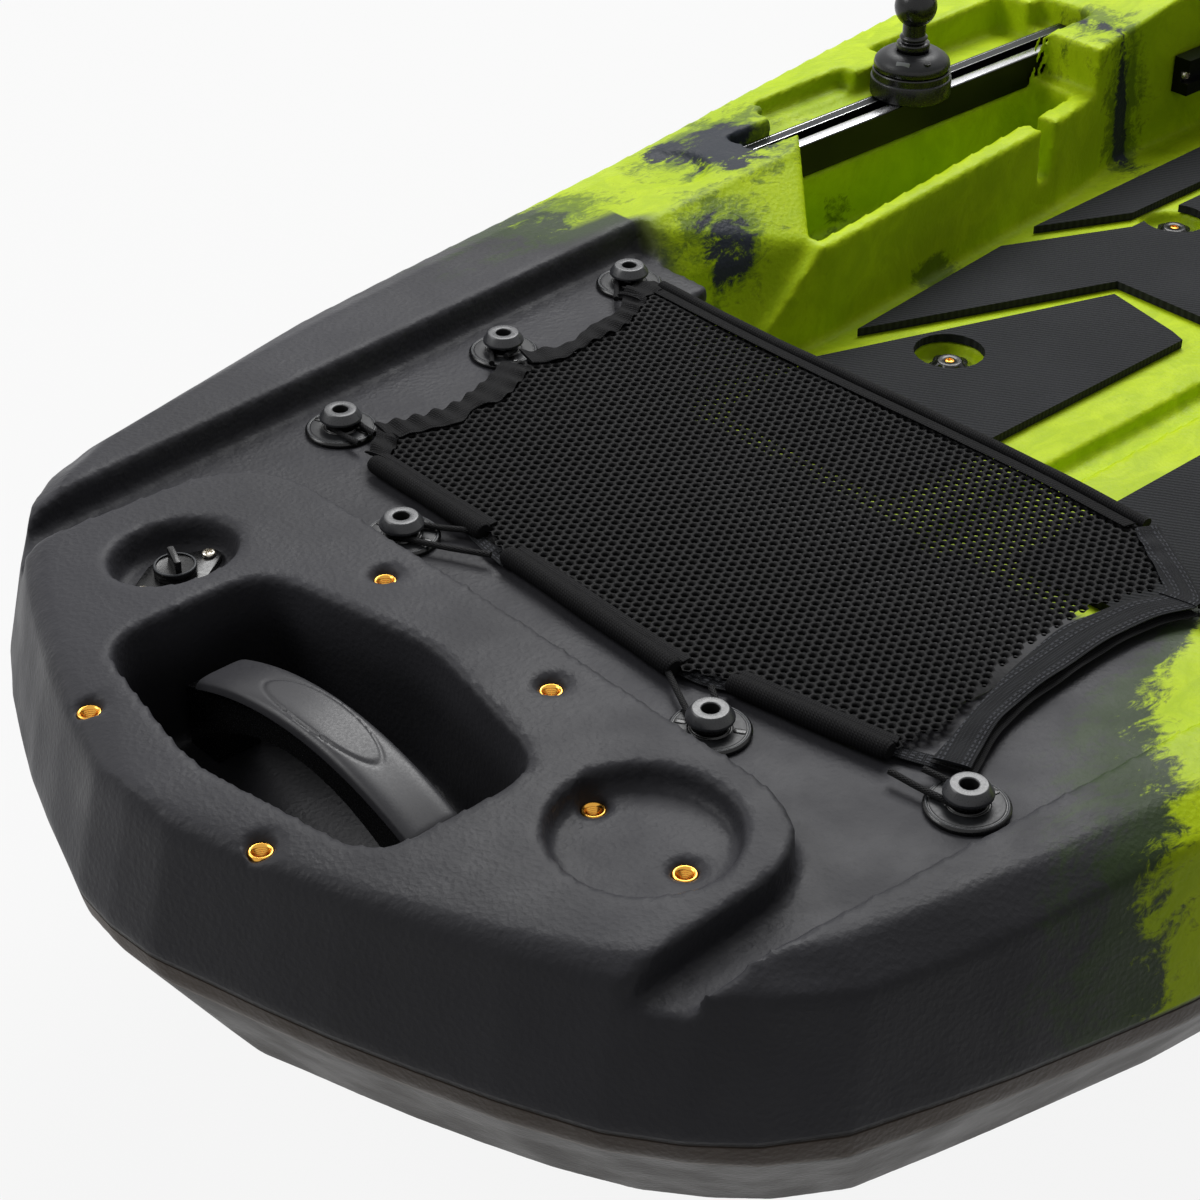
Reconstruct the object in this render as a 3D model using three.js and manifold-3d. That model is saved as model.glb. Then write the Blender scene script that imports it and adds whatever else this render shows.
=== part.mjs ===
// Sit-on-top fishing kayak with a blunt bow, a mesh-covered bow well and a track-mounted ball.
// Lengths are millimetres. The datum of every piece is the foredeck datum: X runs from the bow
// towards the stern, Y to port, Z up, with zero where the line of the front corner buttons
// crosses the centre line at the height of the inboard deck.
import * as THREE from "three";
import { mergeVertices } from "three/addons/utils/BufferGeometryUtils.js";
import Module from "manifold-3d";

const wasm = await Module();
wasm.setup();

// Driving dimensions of the hull
const hullLength = 3350;
const hullBeam = 890;
const deckHeight = 250;
const bowSetback = 268;
const sheerRise = 45;
const rockerRise = 75;
const seamDrop = 70;
const seamOutset = 13;
const rimWidth = 42;
const rimEndInset = 15;
const plateauCrown = 4;
const bandHeight = 14;
const bandInset = 3;
const undercut = { drop: 88, endInset: 49, sideInset: 62 };
const bilge = { rise: 34, endInset: 110, sideInset: 125 };
const bottom = { rise: 12, endInset: 190, sideInset: 190, tunnelRise: 14 };
const samplePitch = 70;

// Clearances and shared small sizes
const seatGap = 0.3;
const draft = 7;
const overrun = 60;
const sweep = 12;
const fineSweep = 20;
const cornerSteps = 4;

// Plan outline of the seam, port side, bow to stern: share of the length, share of the half beam
const planShares = [
  [0, 0], [0.0006, 0.056], [0.003, 0.112], [0.0054, 0.169], [0.0084, 0.232], [0.0125, 0.303],
  [0.0167, 0.371], [0.0224, 0.448], [0.0281, 0.505], [0.034, 0.546], [0.043, 0.583], [0.0549, 0.606],
  [0.0645, 0.622], [0.0899, 0.656], [0.1334, 0.7], [0.1606, 0.728], [0.2054, 0.782], [0.271, 0.854],
  [0.3487, 0.921],
  [0.4382, 0.975], [0.5278, 1], [0.6173, 0.996], [0.7069, 0.962], [0.7815, 0.903],
  [0.8561, 0.809], [0.9158, 0.701], [0.9516, 0.607], [0.9755, 0.506], [0.989, 0.393],
  [0.9964, 0.247], [0.9992, 0.112], [1, 0],
];
// Heights along the length: share of the length, share of the named rise
const edgeRiseShares = [
  [0, 0.3], [0.02, 0.26], [0.05, 0.04], [0.1, 0.18], [0.27, 0.3], [0.36, 0.9], [0.42, 1],
  [0.68, 1], [0.8, 0.6], [1, 0.3],
];
const ledgeRiseShares = [
  [0, 0.4], [0.05, 0.36], [0.26, 0.36], [0.33, 1.1], [0.42, 1.2], [0.68, 1.2], [0.8, 0.8], [1, 0.45],
];
const seamDropShares = [[0, 0.52], [0.024, 0.68], [0.05, 0.79], [0.1, 0.93], [0.3, 1], [0.85, 1], [1, 0.8]];
const rockerShares = [
  [0, 1], [0.06, 0.78], [0.14, 0.42], [0.27, 0.1], [0.38, 0], [0.74, 0], [0.88, 0.3], [1, 0.9],
];
const bottomRowShares = [[0.66, 0], [0.36, 0], [0.14, 1], [-0.14, 1], [-0.36, 0], [-0.66, 0]];
const topRowShares = [[0.5, 0.7], [0, 1], [-0.5, 0.7]];

// Foredeck: ledges, plateau and its recesses
const ledge = { front: -330, rear: 231, portFront: 193, portRear: 237, starboardFront: 203,
  starboardRear: 250, draft: 3 };
const plateau = { mouthX: -205, mouthSpread: 4, rearX: -68, portWidth: 176, starboardWidth: 193, corner: 46,
  draft: 4 };
const plateauHeight = 18;
const handleRecess = { x: -165, endHalfLength: 87, halfWidth: 54, endHalfWidth: 37, depth: 62, corner: 16,
  draft: 5 };
const ovalRecess = { x: -143, y: 131, length: 62, width: 50, depth: 15, draft: 3 };
const cupRecess = { x: -120, y: -145, radius: 38, depth: 10, draft: 1.5 };
const discRecess = { x: 290, y: 281, radius: 25, depth: 3, draft: 1 };

// Brass inserts
const insert = { radius: 4.95, bore: 3.1, length: 13, lip: 1.2, counterRadius: 7, counterDepth: 2 };
const deckInserts = [[-87, 54], [-87, -54], [-233, 58], [-233, -58]];
const cupInserts = [[-117, -113], [-117, -164]];

// Drain
const drain = { collarRadius: 14, flangeThick: 3, bore: 8, shankRadius: 6.6, shankLength: 15,
  capRadius: 9.6, capThick: 3, bladeLength: 15, bladeThick: 3.2, bladeHeight: 6, screwReach: 19.5,
  earRadius: 5.5, screwRadius: 3.3, screwHeight: 1.8, sealThick: 1.6, wellDepth: 20, turn: 8 };

// Bow handle
const handle = { x: -162, halfSpan: 83, width: 22, footDrop: 32, crownDrop: 6, thick: 14,
  footLength: 20, gripWidth: 27, gripThick: 5, gripReach: 73 };

// Buttons that hold the mesh cover
const button = { discRadius: 17.5, discThick: 2.5, bevel: 1.1, stemRadius: 4.5, stemTop: 7,
  capRadius: 10.3, capEdge: 1.6, capTopRadius: 7.8, height: 12, holeRadius: 3.7, holeFloor: 5 };
const buttonPlaces = [[198, 210], [100, 197], [-8, 190], [-46, 95], [-44, -102], [-4, -204], [198, -210]];
const cordDiameter = 3;
const loop = { wide: 12, narrow: 5, gapPort: 58, gapStarboard: -76, steps: 6, tension: 0.35, rings: 15 };

// Mesh cover: corners of the net in the deck plane, then its hems and straps
const net = { front: -16, rear: 202, portFront: 148, portRear: 184, starboardFront: 164,
  starboardRear: 126, starboardWaist: 164, chamferX: 166, chamferY: 172, waistX: 90, z: 4, thick: 1.6 };
const netHoles = { countX: 10, countY: 12, size: 11 };
const hem = { frontRadius: 5, rearRadius: 3, strapWidth: 14, strapThick: 1.8 };

// Cockpit floor and walls
const cockpit = { front: -4, rear: 1075, floorDrop: 67, halfWidth: 226, draft: 3 };
const cockpitShares = [[0, 0.64], [0.19, 0.77], [0.245, 0.815], [0.31, 0.815], [0.52, 0.925], [0.6, 1],
  [1, 1]];
const shoulder = { front: 229, footRear: 254, footHalfWidth: 188, kneeRear: 323, kneeFrontWidth: 215,
  kneeHalfWidth: 196, topRear: 367, topFrontWidth: 233, topHalfWidth: 246, topDrop: 3 };
const channel = { halfWidth: 10, depth: 9, rear: 1000 };
const tray = { front: 325, frontOuter: 383, rear: 590, innerFront: 197, innerRear: 233, outer: 262,
  floorDrop: 55, corner: 6 };
const divider = { rear: 603, drop: 10, thick: 18 };
const notch = { front: 537, length: 14, drop: 46 };
const gunPocket = { front: 384, rear: 646, outer: 303, drop: 1 };
const gunScoops = { fronts: [392, 506], rears: [470, 632], outers: [314, 326], drops: [14, 24] };

// Seat deck, tank well and stern deck
const seatDeck = { front: 1060, rear: 1640, drop: 28, halfWidth: 262, corner: 40 };
const tankInset = 282;
const tank = { front: 1770, rear: hullLength - bowSetback - tankInset, drop: 62,
  frontHalfWidth: 315, rearHalfWidth: 215, corner: 60 };
const rodHolder = { x: 1705, y: 335, radius: 23, depth: 190, tilt: 25 };
const scupper = { radius: 14, y: 150, front: 985, rearInset: 150 };

// Gear track and the ball mount on it
const track = { front: 345, length: 300, y: 276, width: 24, height: 20, top: 6, slot: 8, lip: 3,
  cavity: 16, cavityHeight: 8 };
const mount = { x: 490, baseRadius: 24.5, baseHeight: 16, baseChamfer: 1, collarRadius: 22.4,
  collarHeight: 11,
  shaft: 3.4, bore: 3.9, neckRadius: 7, ringRadius: 10, ringHeight: 4, beadRadius: 8.6, beadHeight: 2,
  ballRadius: 12.7, ballRise: 61, headLength: 14, headHeight: 5, spigot: 9, spigotGap: 1 };
const collarShares = [[1, 0], [1.03, 0.3], [0.92, 0.62], [0.66, 1]];
const grooveShare = 0.7;

// Floor pads and the lobed anchors in their holes
const pad = { thick: 5, holeRadius: 20, rear: 945, wallY: 203, midY: 152, stripWidth: 12, inner: 42 };
const padFront = { front: 225, frontOuter: 158, knee: 300, kneeOuter: 166, tip: 482, tipOuter: 103,
  tipInner: 52, tipBack: 466 };
const padMiddle = { tip: 340, tipY: 173, kneeX: 481, kneeY: 188, turnX: 560, notchX: 496, notchY: 112 };
const padWall = { tip: 516, tipY: 192, turnX: 576 };
const anchor = { radius: 11.5, lobeRadius: 4.5, lobes: 5, height: 7, shoulder: 3.5, topRadius: 7,
  screwRadius: 3, screwDrop: 1.8, lobeReach: 10.2, recessDepth: 8,
  places: [[359, 121], [589, 142]] };

// Foot braces
const rail = { front: 690, length: 330, width: 12, height: 24, z: -34, slotHeight: 8, slotDepth: 6 };
const pedal = { x: 820, plate: 9, reach: 78, height: 112, shoe: 26 };
const pedalShares = { below: 0.35, lean: 0.2 };

// Seat
const seatSideRoom = 40;
const seat = { tube: 12.5, front: 1150, rear: 1575, halfWidth: seatDeck.halfWidth - seatSideRoom,
  corner: 55, z: 62, backHeight: 430,
  backLean: 14, backHalfWidth: 180, backCorner: 95, hingeRise: 34, pin: 4.5, eye: 16, lug: 8,
  slingThick: 5, slingSag: 22, slingInset: 58, backSlingLength: 266, backSlingLift: 40, legInset: 90 };
const legShares = { top: 0.9, foot: 1.2 };
const tubeSides = 8;
const hinge = { x: seat.rear - seat.corner - seat.tube, z: seat.z + seat.hingeRise };

// Carry handles
const carry = { x: 1330, inset: 30, span: 150, rise: 30, grip: 12, pad: 34, padReach: 5, padThick: 5 };
const sternHandle = { inset: 127, span: 150, rise: 34, sink: 0.8 };

const finish = {
  charcoal: new THREE.MeshStandardMaterial({ color: 0x45464a, roughness: 0.62, metalness: 0 }),
  black: new THREE.MeshStandardMaterial({ color: 0x18191a, roughness: 0.4, metalness: 0 }),
  grip: new THREE.MeshStandardMaterial({ color: 0x55575b, roughness: 0.35, metalness: 0 }),
  mesh: new THREE.MeshStandardMaterial({ color: 0x101011, roughness: 0.85, metalness: 0 }),
  foam: new THREE.MeshStandardMaterial({ color: 0x2d2e30, roughness: 0.9, metalness: 0 }),
  brass: new THREE.MeshStandardMaterial({ color: 0xd9a441, roughness: 0.3, metalness: 1 }),
  steel: new THREE.MeshStandardMaterial({ color: 0xb9b6ae, roughness: 0.3, metalness: 1 }),
  anodised: new THREE.MeshStandardMaterial({ color: 0x2a2b2e, roughness: 0.32, metalness: 0.9 }),
  rubber: new THREE.MeshStandardMaterial({ color: 0x1b1b1c, roughness: 0.8, metalness: 0 }),
};

// Reading a table of shares at a place along the length
function shareAt(shares, place) {
  const next = shares.findIndex((row) => row[0] >= place);
  if (next <= 0) return shares[Math.max(next, 0)][1];
  const [a, b] = [shares[next - 1], shares[next]];
  const t = (place - a[0]) / (b[0] - a[0]);
  return a[1] + (b[1] - a[1]) * t * t * (1 + 2 * (1 - t));
}

// A closed position-only geometry with merged corners and no sliver faces
function weld(geometry) {
  const bare = new THREE.BufferGeometry();
  bare.setAttribute("position", geometry.getAttribute("position").clone());
  if (geometry.index) bare.setIndex(geometry.index.clone());
  const merged = mergeVertices(bare, 1e-3);
  const kept = [];
  const index = merged.index.array;
  for (let i = 0; i < index.length; i += 3) {
    const [a, b, c] = [index[i], index[i + 1], index[i + 2]];
    if (a !== b && b !== c && c !== a) kept.push(a, b, c);
  }
  merged.setIndex(kept);
  return merged;
}

function toSolid(geometry) {
  const merged = weld(geometry);
  const mesh = new wasm.Mesh({
    numProp: 3,
    vertProperties: new Float32Array(merged.getAttribute("position").array),
    triVerts: new Uint32Array(merged.index.array),
  });
  return new wasm.Manifold(mesh);
}

function toGeometry(solid) {
  const mesh = solid.getMesh();
  const geometry = new THREE.BufferGeometry();
  geometry.setAttribute("position", new THREE.BufferAttribute(mesh.vertProperties, 3));
  geometry.setIndex(new THREE.BufferAttribute(mesh.triVerts, 1));
  return geometry;
}

// Signed volume, to turn a hand-built skin the right way out
function facingOut(points, faces) {
  let volume = 0;
  for (const [a, b, c] of faces) {
    volume += points[a].dot(new THREE.Vector3().crossVectors(points[b], points[c]));
  }
  return volume > 0 ? faces : faces.map(([a, b, c]) => [a, c, b]);
}

function skin(points, faces) {
  const geometry = new THREE.BufferGeometry();
  geometry.setAttribute("position", new THREE.Float32BufferAttribute(points.flatMap((p) => p.toArray()), 3));
  geometry.setIndex(facingOut(points, faces).flat());
  return geometry;
}

function flatShape(corners) {
  return new THREE.Shape(corners.map(([x, y]) => new THREE.Vector2(x, y)));
}

function outlineArea(outline) {
  return THREE.ShapeUtils.area(outline.map(([x, y]) => ({ x, y })));
}

// A solid between two plan outlines with as many corners each
function loftPlan(low, lowZ, high, highZ) {
  const ordered = outlineArea(low) > 0 ? (outline) => outline : (outline) => [...outline].reverse();
  const [lowOutline, highOutline] = [ordered(low), ordered(high)];
  const count = lowOutline.length;
  const points = [
    ...lowOutline.map(([x, y]) => new THREE.Vector3(x, y, lowZ)),
    ...highOutline.map(([x, y]) => new THREE.Vector3(x, y, highZ)),
  ];
  const caps = THREE.ShapeUtils.triangulateShape(lowOutline.map(([x, y]) => new THREE.Vector2(x, y)), []);
  const faces = [];
  for (const [a, b, c] of caps) {
    faces.push([a, c, b], [a + count, b + count, c + count]);
  }
  for (let i = 0; i < count; i += 1) {
    const j = (i + 1) % count;
    faces.push([i, j, j + count], [i, j + count, i + count]);
  }
  return skin(points, faces);
}

// Corner rounding of a plan outline, with a few points to each corner
const edgeShare = 0.48;

function roundCorners(corners, radius, steps = cornerSteps) {
  const outline = [];
  const count = corners.length;
  corners.forEach((corner, i) => {
    const cornerRadius = Array.isArray(radius) ? radius[i] : radius;
    if (cornerRadius === 0) {
      outline.push(corner);
      return;
    }
    const here = new THREE.Vector2(...corner);
    const back = new THREE.Vector2(...corners[(i + count - 1) % count]).sub(here);
    const ahead = new THREE.Vector2(...corners[(i + 1) % count]).sub(here);
    const reach = Math.min(cornerRadius, back.length() * edgeShare, ahead.length() * edgeShare);
    const start = here.clone().add(back.setLength(reach));
    const end = here.clone().add(ahead.setLength(reach));
    const bend = new THREE.QuadraticBezierCurve(start, here, end);
    bend.getPoints(steps).forEach((p) => outline.push([p.x, p.y]));
  });
  return outline;
}

// Each point of an outline moved outwards by the distance, square to its two edges
function grow(outline, distance) {
  const count = outline.length;
  const side = Math.sign(outlineArea(outline));
  return outline.map(([x, y], i) => {
    const [px, py] = outline[(i + count - 1) % count];
    const [nx, ny] = outline[(i + 1) % count];
    const back = new THREE.Vector2(y - py, px - x).normalize();
    const ahead = new THREE.Vector2(ny - y, x - nx).normalize();
    const reach = (distance * side) / Math.max(1 + back.dot(ahead), 0.5);
    return [x + (back.x + ahead.x) * reach, y + (back.y + ahead.y) * reach];
  });
}

// A drafted pocket from its floor up through the surface above it
function pocket(outline, floorZ, topZ, slope) {
  const high = grow(outline, slope);
  const through = grow(outline, slope + overrun * slope / (topZ - floorZ));
  const lower = toSolid(loftPlan(outline, floorZ, high, topZ));
  const upper = toSolid(loftPlan(high, topZ, through, topZ + overrun));
  return lower.add(upper);
}

function circleOutline(x, y, radius, count, stretch = 1) {
  return Array.from({ length: count }, (_, i) => {
    const angle = (i / count) * 2 * Math.PI;
    return [x + radius * stretch * Math.cos(angle), y + radius * Math.sin(angle)];
  });
}

function mirrorPoints(points) {
  return points.map(([x, y]) => [x, -y]).reverse();
}

function symmetricOutline(portPoints) {
  return [...portPoints, ...mirrorPoints(portPoints)];
}

function block(x0, x1, y0, y1, z0, z1) {
  const geometry = new THREE.BoxGeometry(x1 - x0, y1 - y0, z1 - z0);
  geometry.translate((x0 + x1) / 2, (y0 + y1) / 2, (z0 + z1) / 2);
  return toSolid(geometry);
}

function lathe(profile, count = sweep) {
  const geometry = new THREE.LatheGeometry(profile.map(([r, z]) => new THREE.Vector2(r, z)), count);
  geometry.rotateX(Math.PI / 2);
  return geometry;
}

function barrel(radius, z0, z1, count = sweep) {
  return lathe([[0, z0], [radius, z0], [radius, z1], [0, z1]], count);
}

// A round tube along a curve
function tube(curve, radius, steps, sides) {
  const section = flatShape(circleOutline(0, 0, radius, sides));
  return new THREE.ExtrudeGeometry(section, { steps, extrudePath: curve, bevelEnabled: false });
}

function routed(points, tension = 0.5) {
  const line = points.map((p) => new THREE.Vector3(...p));
  return new THREE.CatmullRomCurve3(line, false, "catmullrom", tension);
}

// The hull's plan outline, sampled along a smooth curve
function planSamples() {
  const halfBeam = hullBeam / 2;
  const stations = planShares.map(([u, v]) => (
    new THREE.Vector3(u * hullLength - bowSetback, v * halfBeam, 0)));
  const samples = [];
  stations.forEach((station, i) => {
    if (i === stations.length - 1) return;
    const count = Math.max(1, Math.round(station.distanceTo(stations[i + 1]) / samplePitch));
    for (let k = 0; k < count; k += 1) samples.push([i, k / count]);
  });
  const curve = new THREE.CatmullRomCurve3(stations, false, "centripetal");
  const spans = stations.length - 1;
  const line = samples.map(([i, t]) => curve.getPoint((i + t) / spans));
  line.push(stations[spans]);
  line[0].y = 0;
  return line;
}

// One ring of the hull: the plan outline drawn in, at the height that the rule gives
function hullRing(samples, endInset, sideInset, heightAt) {
  const centreX = hullLength / 2 - bowSetback;
  const lengthScale = (hullLength / 2 - endInset) / (hullLength / 2);
  const widthScale = (hullBeam / 2 - sideInset) / (hullBeam / 2);
  return samples.map((p) => {
    const place = (p.x + bowSetback) / hullLength;
    return new THREE.Vector3(centreX + (p.x - centreX) * lengthScale, p.y * widthScale, heightAt(place));
  });
}

function hullRings() {
  const samples = planSamples();
  const keel = -deckHeight;
  const seamAt = (u) => -seamDrop * shareAt(seamDropShares, u);
  const rockerAt = (u) => keel + rockerRise * shareAt(rockerShares, u);
  return [
    hullRing(samples, rimEndInset, rimWidth, (u) => sheerRise * shareAt(ledgeRiseShares, u)),
    hullRing(samples, seamOutset, seamOutset, (u) => sheerRise * shareAt(edgeRiseShares, u)),
    hullRing(samples, 0, 0, seamAt),
    hullRing(samples, bandInset, bandInset, (u) => seamAt(u) - bandHeight),
    hullRing(samples, undercut.endInset, undercut.sideInset, (u) => seamAt(u) - undercut.drop),
    hullRing(samples, bilge.endInset, bilge.sideInset, (u) => rockerAt(u) + bilge.rise),
    hullRing(samples, bottom.endInset, bottom.sideInset, (u) => rockerAt(u) + bottom.rise),
  ];
}

// Rows of points across a ring, from port to starboard, and the faces between them
function capFaces(points, portRow, starRow, rowShares, lift) {
  const rows = portRow.map((port, i) => {
    const a = points[port];
    if (i === 0 || i === portRow.length - 1) return [port];
    const inner = rowShares.map(([share, rise]) => {
      points.push(new THREE.Vector3(a.x, a.y * share, a.z + lift(rise)));
      return points.length - 1;
    });
    return [port, ...inner, starRow[i]];
  });
  const faces = [];
  for (let i = 0; i < rows.length - 1; i += 1) {
    const [near, far] = [rows[i], rows[i + 1]];
    if (near.length === 1) {
      for (let k = 0; k < far.length - 1; k += 1) faces.push([near[0], far[k], far[k + 1]]);
    } else if (far.length === 1) {
      for (let k = 0; k < near.length - 1; k += 1) faces.push([near[k + 1], near[k], far[0]]);
    } else {
      for (let k = 0; k < near.length - 1; k += 1) {
        faces.push([near[k], far[k], far[k + 1]], [near[k], far[k + 1], near[k + 1]]);
      }
    }
  }
  return faces;
}

// The closed outside of the hull before its wells are cut
function hullBody() {
  const rings = hullRings();
  const count = rings[0].length;
  const points = [];
  const port = rings.map((ring) => ring.map((p) => points.push(p) - 1));
  const star = rings.map((ring, r) => ring.map((p, i) => {
    if (i === 0 || i === count - 1) return port[r][i];
    return points.push(new THREE.Vector3(p.x, -p.y, p.z)) - 1;
  }));
  const faces = [];
  for (let r = 0; r < rings.length - 1; r += 1) {
    for (let i = 0; i < count - 1; i += 1) {
      const [a, b, c, d] = [port[r][i], port[r + 1][i], port[r + 1][i + 1], port[r][i + 1]];
      const [e, f, g, h] = [star[r][i], star[r + 1][i], star[r + 1][i + 1], star[r][i + 1]];
      faces.push([a, b, c], [a, c, d], [e, g, f], [e, h, g]);
    }
  }
  const last = rings.length - 1;
  const top = capFaces(points, port[0], star[0], topRowShares, (rise) => plateauCrown * rise);
  const underside = capFaces(points, port[last], star[last], bottomRowShares, (rise) => (
    bottom.tunnelRise * rise - bottom.rise));
  faces.push(...top, ...underside.map(([a, b, c]) => [a, c, b]));
  return toSolid(skin(points, faces));
}

// The low deck round the plateau, between the two ledges
function foredeckCut() {
  const outer = [[ledge.front, ledge.portFront], [ledge.rear, ledge.portRear],
    [ledge.rear, -ledge.starboardRear], [ledge.front, -ledge.starboardFront]];
  const { mouthX, mouthSpread, rearX, portWidth, starboardWidth, corner } = plateau;
  const front = ledge.front - overrun;
  const corners = [
    [front, portWidth + mouthSpread + draft], [mouthX, portWidth + mouthSpread], [rearX, portWidth],
    [rearX, -starboardWidth], [mouthX, -starboardWidth - mouthSpread],
    [front, -starboardWidth - mouthSpread - draft],
  ];
  const inner = roundCorners(corners, [0, corner, corner, corner, corner, 0], cornerSteps + 2);
  const island = loftPlan(grow(inner, plateau.draft), -overrun, inner, plateauHeight + overrun);
  return pocket(outer, 0, plateauHeight, ledge.draft).subtract(toSolid(island));
}

function handleRecessCut() {
  const { x, endHalfLength, halfWidth, endHalfWidth, depth, corner } = handleRecess;
  const corners = [
    [x - endHalfWidth, endHalfLength], [x - halfWidth, 0], [x - endHalfWidth, -endHalfLength],
    [x + endHalfWidth, -endHalfLength], [x + halfWidth, 0], [x + endHalfWidth, endHalfLength],
  ];
  const outline = roundCorners(corners, corner);
  return pocket(outline, plateauHeight - depth, plateauHeight, handleRecess.draft);
}

function ovalRecessCut() {
  const { x, y, length, width, depth } = ovalRecess;
  const outline = circleOutline(x, y, width / 2 - ovalRecess.draft, fineSweep, length / width);
  const bore = barrel(drain.bore, -depth - drain.wellDepth, 0);
  bore.translate(x, y, plateauHeight);
  return pocket(outline, plateauHeight - depth, plateauHeight, ovalRecess.draft).add(toSolid(bore));
}

function insertCut([x, y], surfaceZ) {
  const seatRadius = insert.radius + seatGap;
  const floorZ = -insert.counterDepth - insert.length - seatGap;
  const cut = lathe([
    [0, floorZ], [seatRadius, floorZ], [seatRadius, -insert.counterDepth],
    [insert.counterRadius, -insert.counterDepth], [insert.counterRadius, overrun], [0, overrun],
  ]);
  cut.translate(x, y, surfaceZ);
  return toSolid(cut);
}

function cockpitOutline() {
  const length = cockpit.rear - cockpit.front;
  return symmetricOutline(cockpitShares.map(([u, v]) => (
    [cockpit.front + u * length, v * cockpit.halfWidth])));
}

function shoulderCut(side) {
  const { front, footRear, footHalfWidth, kneeRear, kneeFrontWidth, kneeHalfWidth, topRear, topFrontWidth,
    topHalfWidth, topDrop } = shoulder;
  const ring = (x0, x1, y0, y1) => [[x0, 0], [x1, 0], [x1, y1 * side], [x0, y0 * side]];
  const foot = ring(front + draft, footRear, footHalfWidth, footHalfWidth);
  const knee = ring(front, kneeRear, kneeFrontWidth, kneeHalfWidth);
  const top = ring(front, topRear, topFrontWidth, topHalfWidth);
  const [kneeZ, topZ] = [-divider.drop, plateauHeight - topDrop];
  const beyond = top.map(([x, y], i) => [2 * x - knee[i][0], 2 * y - knee[i][1]]);
  const lower = toSolid(loftPlan(foot, -cockpit.floorDrop, knee, kneeZ));
  const middle = toSolid(loftPlan(knee, kneeZ, top, topZ));
  return lower.add(middle).add(toSolid(loftPlan(top, topZ, beyond, 2 * topZ - kneeZ)));
}

function trayCuts(side) {
  const { front, frontOuter, rear, innerFront, innerRear, outer, floorDrop, corner } = tray;
  const flip = ([x, y]) => [x, y * side];
  const corners = [[front, innerFront], [rear, innerRear], [rear, outer], [frontOuter, outer]];
  const floor = roundCorners(corners, corner).map(flip);
  const span = (x0, x1, y0, y1, z0, z1) => block(x0, x1, Math.min(y0 * side, y1 * side),
    Math.max(y0 * side, y1 * side), z0, z1);
  const trackFloor = track.top - track.height - seatGap;
  const trackRoom = track.width / 2 + seatGap;
  const [trackIn, trackOut] = [track.y - trackRoom, track.y + trackRoom];
  const [trackFront, trackRear] = [track.front - seatGap, track.front + track.length + seatGap];
  const dividerIn = innerFront - divider.thick * 2;
  const dividerTop = [[front, dividerIn], [divider.rear, dividerIn], [divider.rear, outer],
    [frontOuter, outer], [front, innerFront]].map(flip);
  const cuts = [
    pocket(floor, -floorDrop, plateauHeight, draft / 2),
    toSolid(loftPlan(dividerTop, -divider.drop, dividerTop, overrun)),
    span(notch.front, notch.front + notch.length, dividerIn, innerRear, -notch.drop, overrun),
    span(trackFront, trackRear, trackIn, trackOut, trackFloor, overrun),
    span(gunPocket.front, gunPocket.rear, trackIn, gunPocket.outer, gunPocket.drop, overrun),
  ];
  gunScoops.fronts.forEach((front0, i) => {
    cuts.push(span(front0, gunScoops.rears[i], track.y + trackRoom + seatGap, gunScoops.outers[i],
      plateauHeight - gunScoops.drops[i], overrun));
  });
  return cuts;
}

function hullCuts() {
  const cup = circleOutline(cupRecess.x, cupRecess.y, cupRecess.radius - cupRecess.draft, fineSweep);
  const { halfWidth: seatHalfWidth } = seatDeck;
  const seatArea = symmetricOutline([[seatDeck.front, seatHalfWidth], [seatDeck.rear, seatHalfWidth]]);
  const tankArea = symmetricOutline([[tank.front, tank.frontHalfWidth], [tank.rear, tank.rearHalfWidth]]);
  const cuts = [
    foredeckCut(),
    handleRecessCut(),
    ovalRecessCut(),
    pocket(cup, plateauHeight - cupRecess.depth, plateauHeight, cupRecess.draft),
    pocket(cockpitOutline(), -cockpit.floorDrop, plateauHeight, cockpit.draft),
    block(cockpit.front + overrun, channel.rear, -channel.halfWidth, channel.halfWidth,
      -cockpit.floorDrop - channel.depth, 0),
    pocket(roundCorners(seatArea, seatDeck.corner), -seatDeck.drop, sheerRise, draft * 2),
    pocket(roundCorners(tankArea, tank.corner), -tank.drop, sheerRise, draft * 2),
  ];
  deckInserts.forEach((place) => cuts.push(insertCut(place, plateauHeight)));
  cupInserts.forEach((place) => cuts.push(insertCut(place, plateauHeight - cupRecess.depth)));
  for (const side of [1, -1]) {
    cuts.push(shoulderCut(side), ...trayCuts(side));
    const discRadius = discRecess.radius - discRecess.draft;
    const disc = circleOutline(discRecess.x, discRecess.y * side, discRadius, fineSweep);
    cuts.push(pocket(disc, rimTop(discRecess.x) - discRecess.depth, plateauHeight, discRecess.draft));
    anchor.places.forEach(([x, y]) => {
      const cut = barrel(pad.holeRadius, -cockpit.floorDrop - anchor.recessDepth, 0);
      cut.translate(x, y * side, 0);
      cuts.push(toSolid(cut));
    });
    cuts.push(rodHolderCut(side));
  }
  for (const x of [scupper.front, tank.rear - scupper.rearInset]) {
    for (const y of [scupper.y, -scupper.y]) {
      const cut = barrel(scupper.radius, -deckHeight - overrun, 0);
      cut.translate(x, y, 0);
      cuts.push(toSolid(cut));
    }
  }
  return cuts;
}

function rodHolderCut(side) {
  const cut = barrel(rodHolder.radius, -rodHolder.depth, overrun * 2);
  cut.rotateY(THREE.MathUtils.degToRad(rodHolder.tilt));
  cut.translate(rodHolder.x, rodHolder.y * side, sheerRise);
  return toSolid(cut);
}

function hull() {
  return hullCuts().reduce((solid, cut) => solid.subtract(cut), hullBody());
}

function brassInsert() {
  return lathe([
    [insert.bore, -insert.length], [insert.radius, -insert.length], [insert.radius, 0],
    [insert.radius - insert.lip, 0], [insert.bore, -insert.lip], [insert.bore, -insert.length],
  ]);
}

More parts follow.
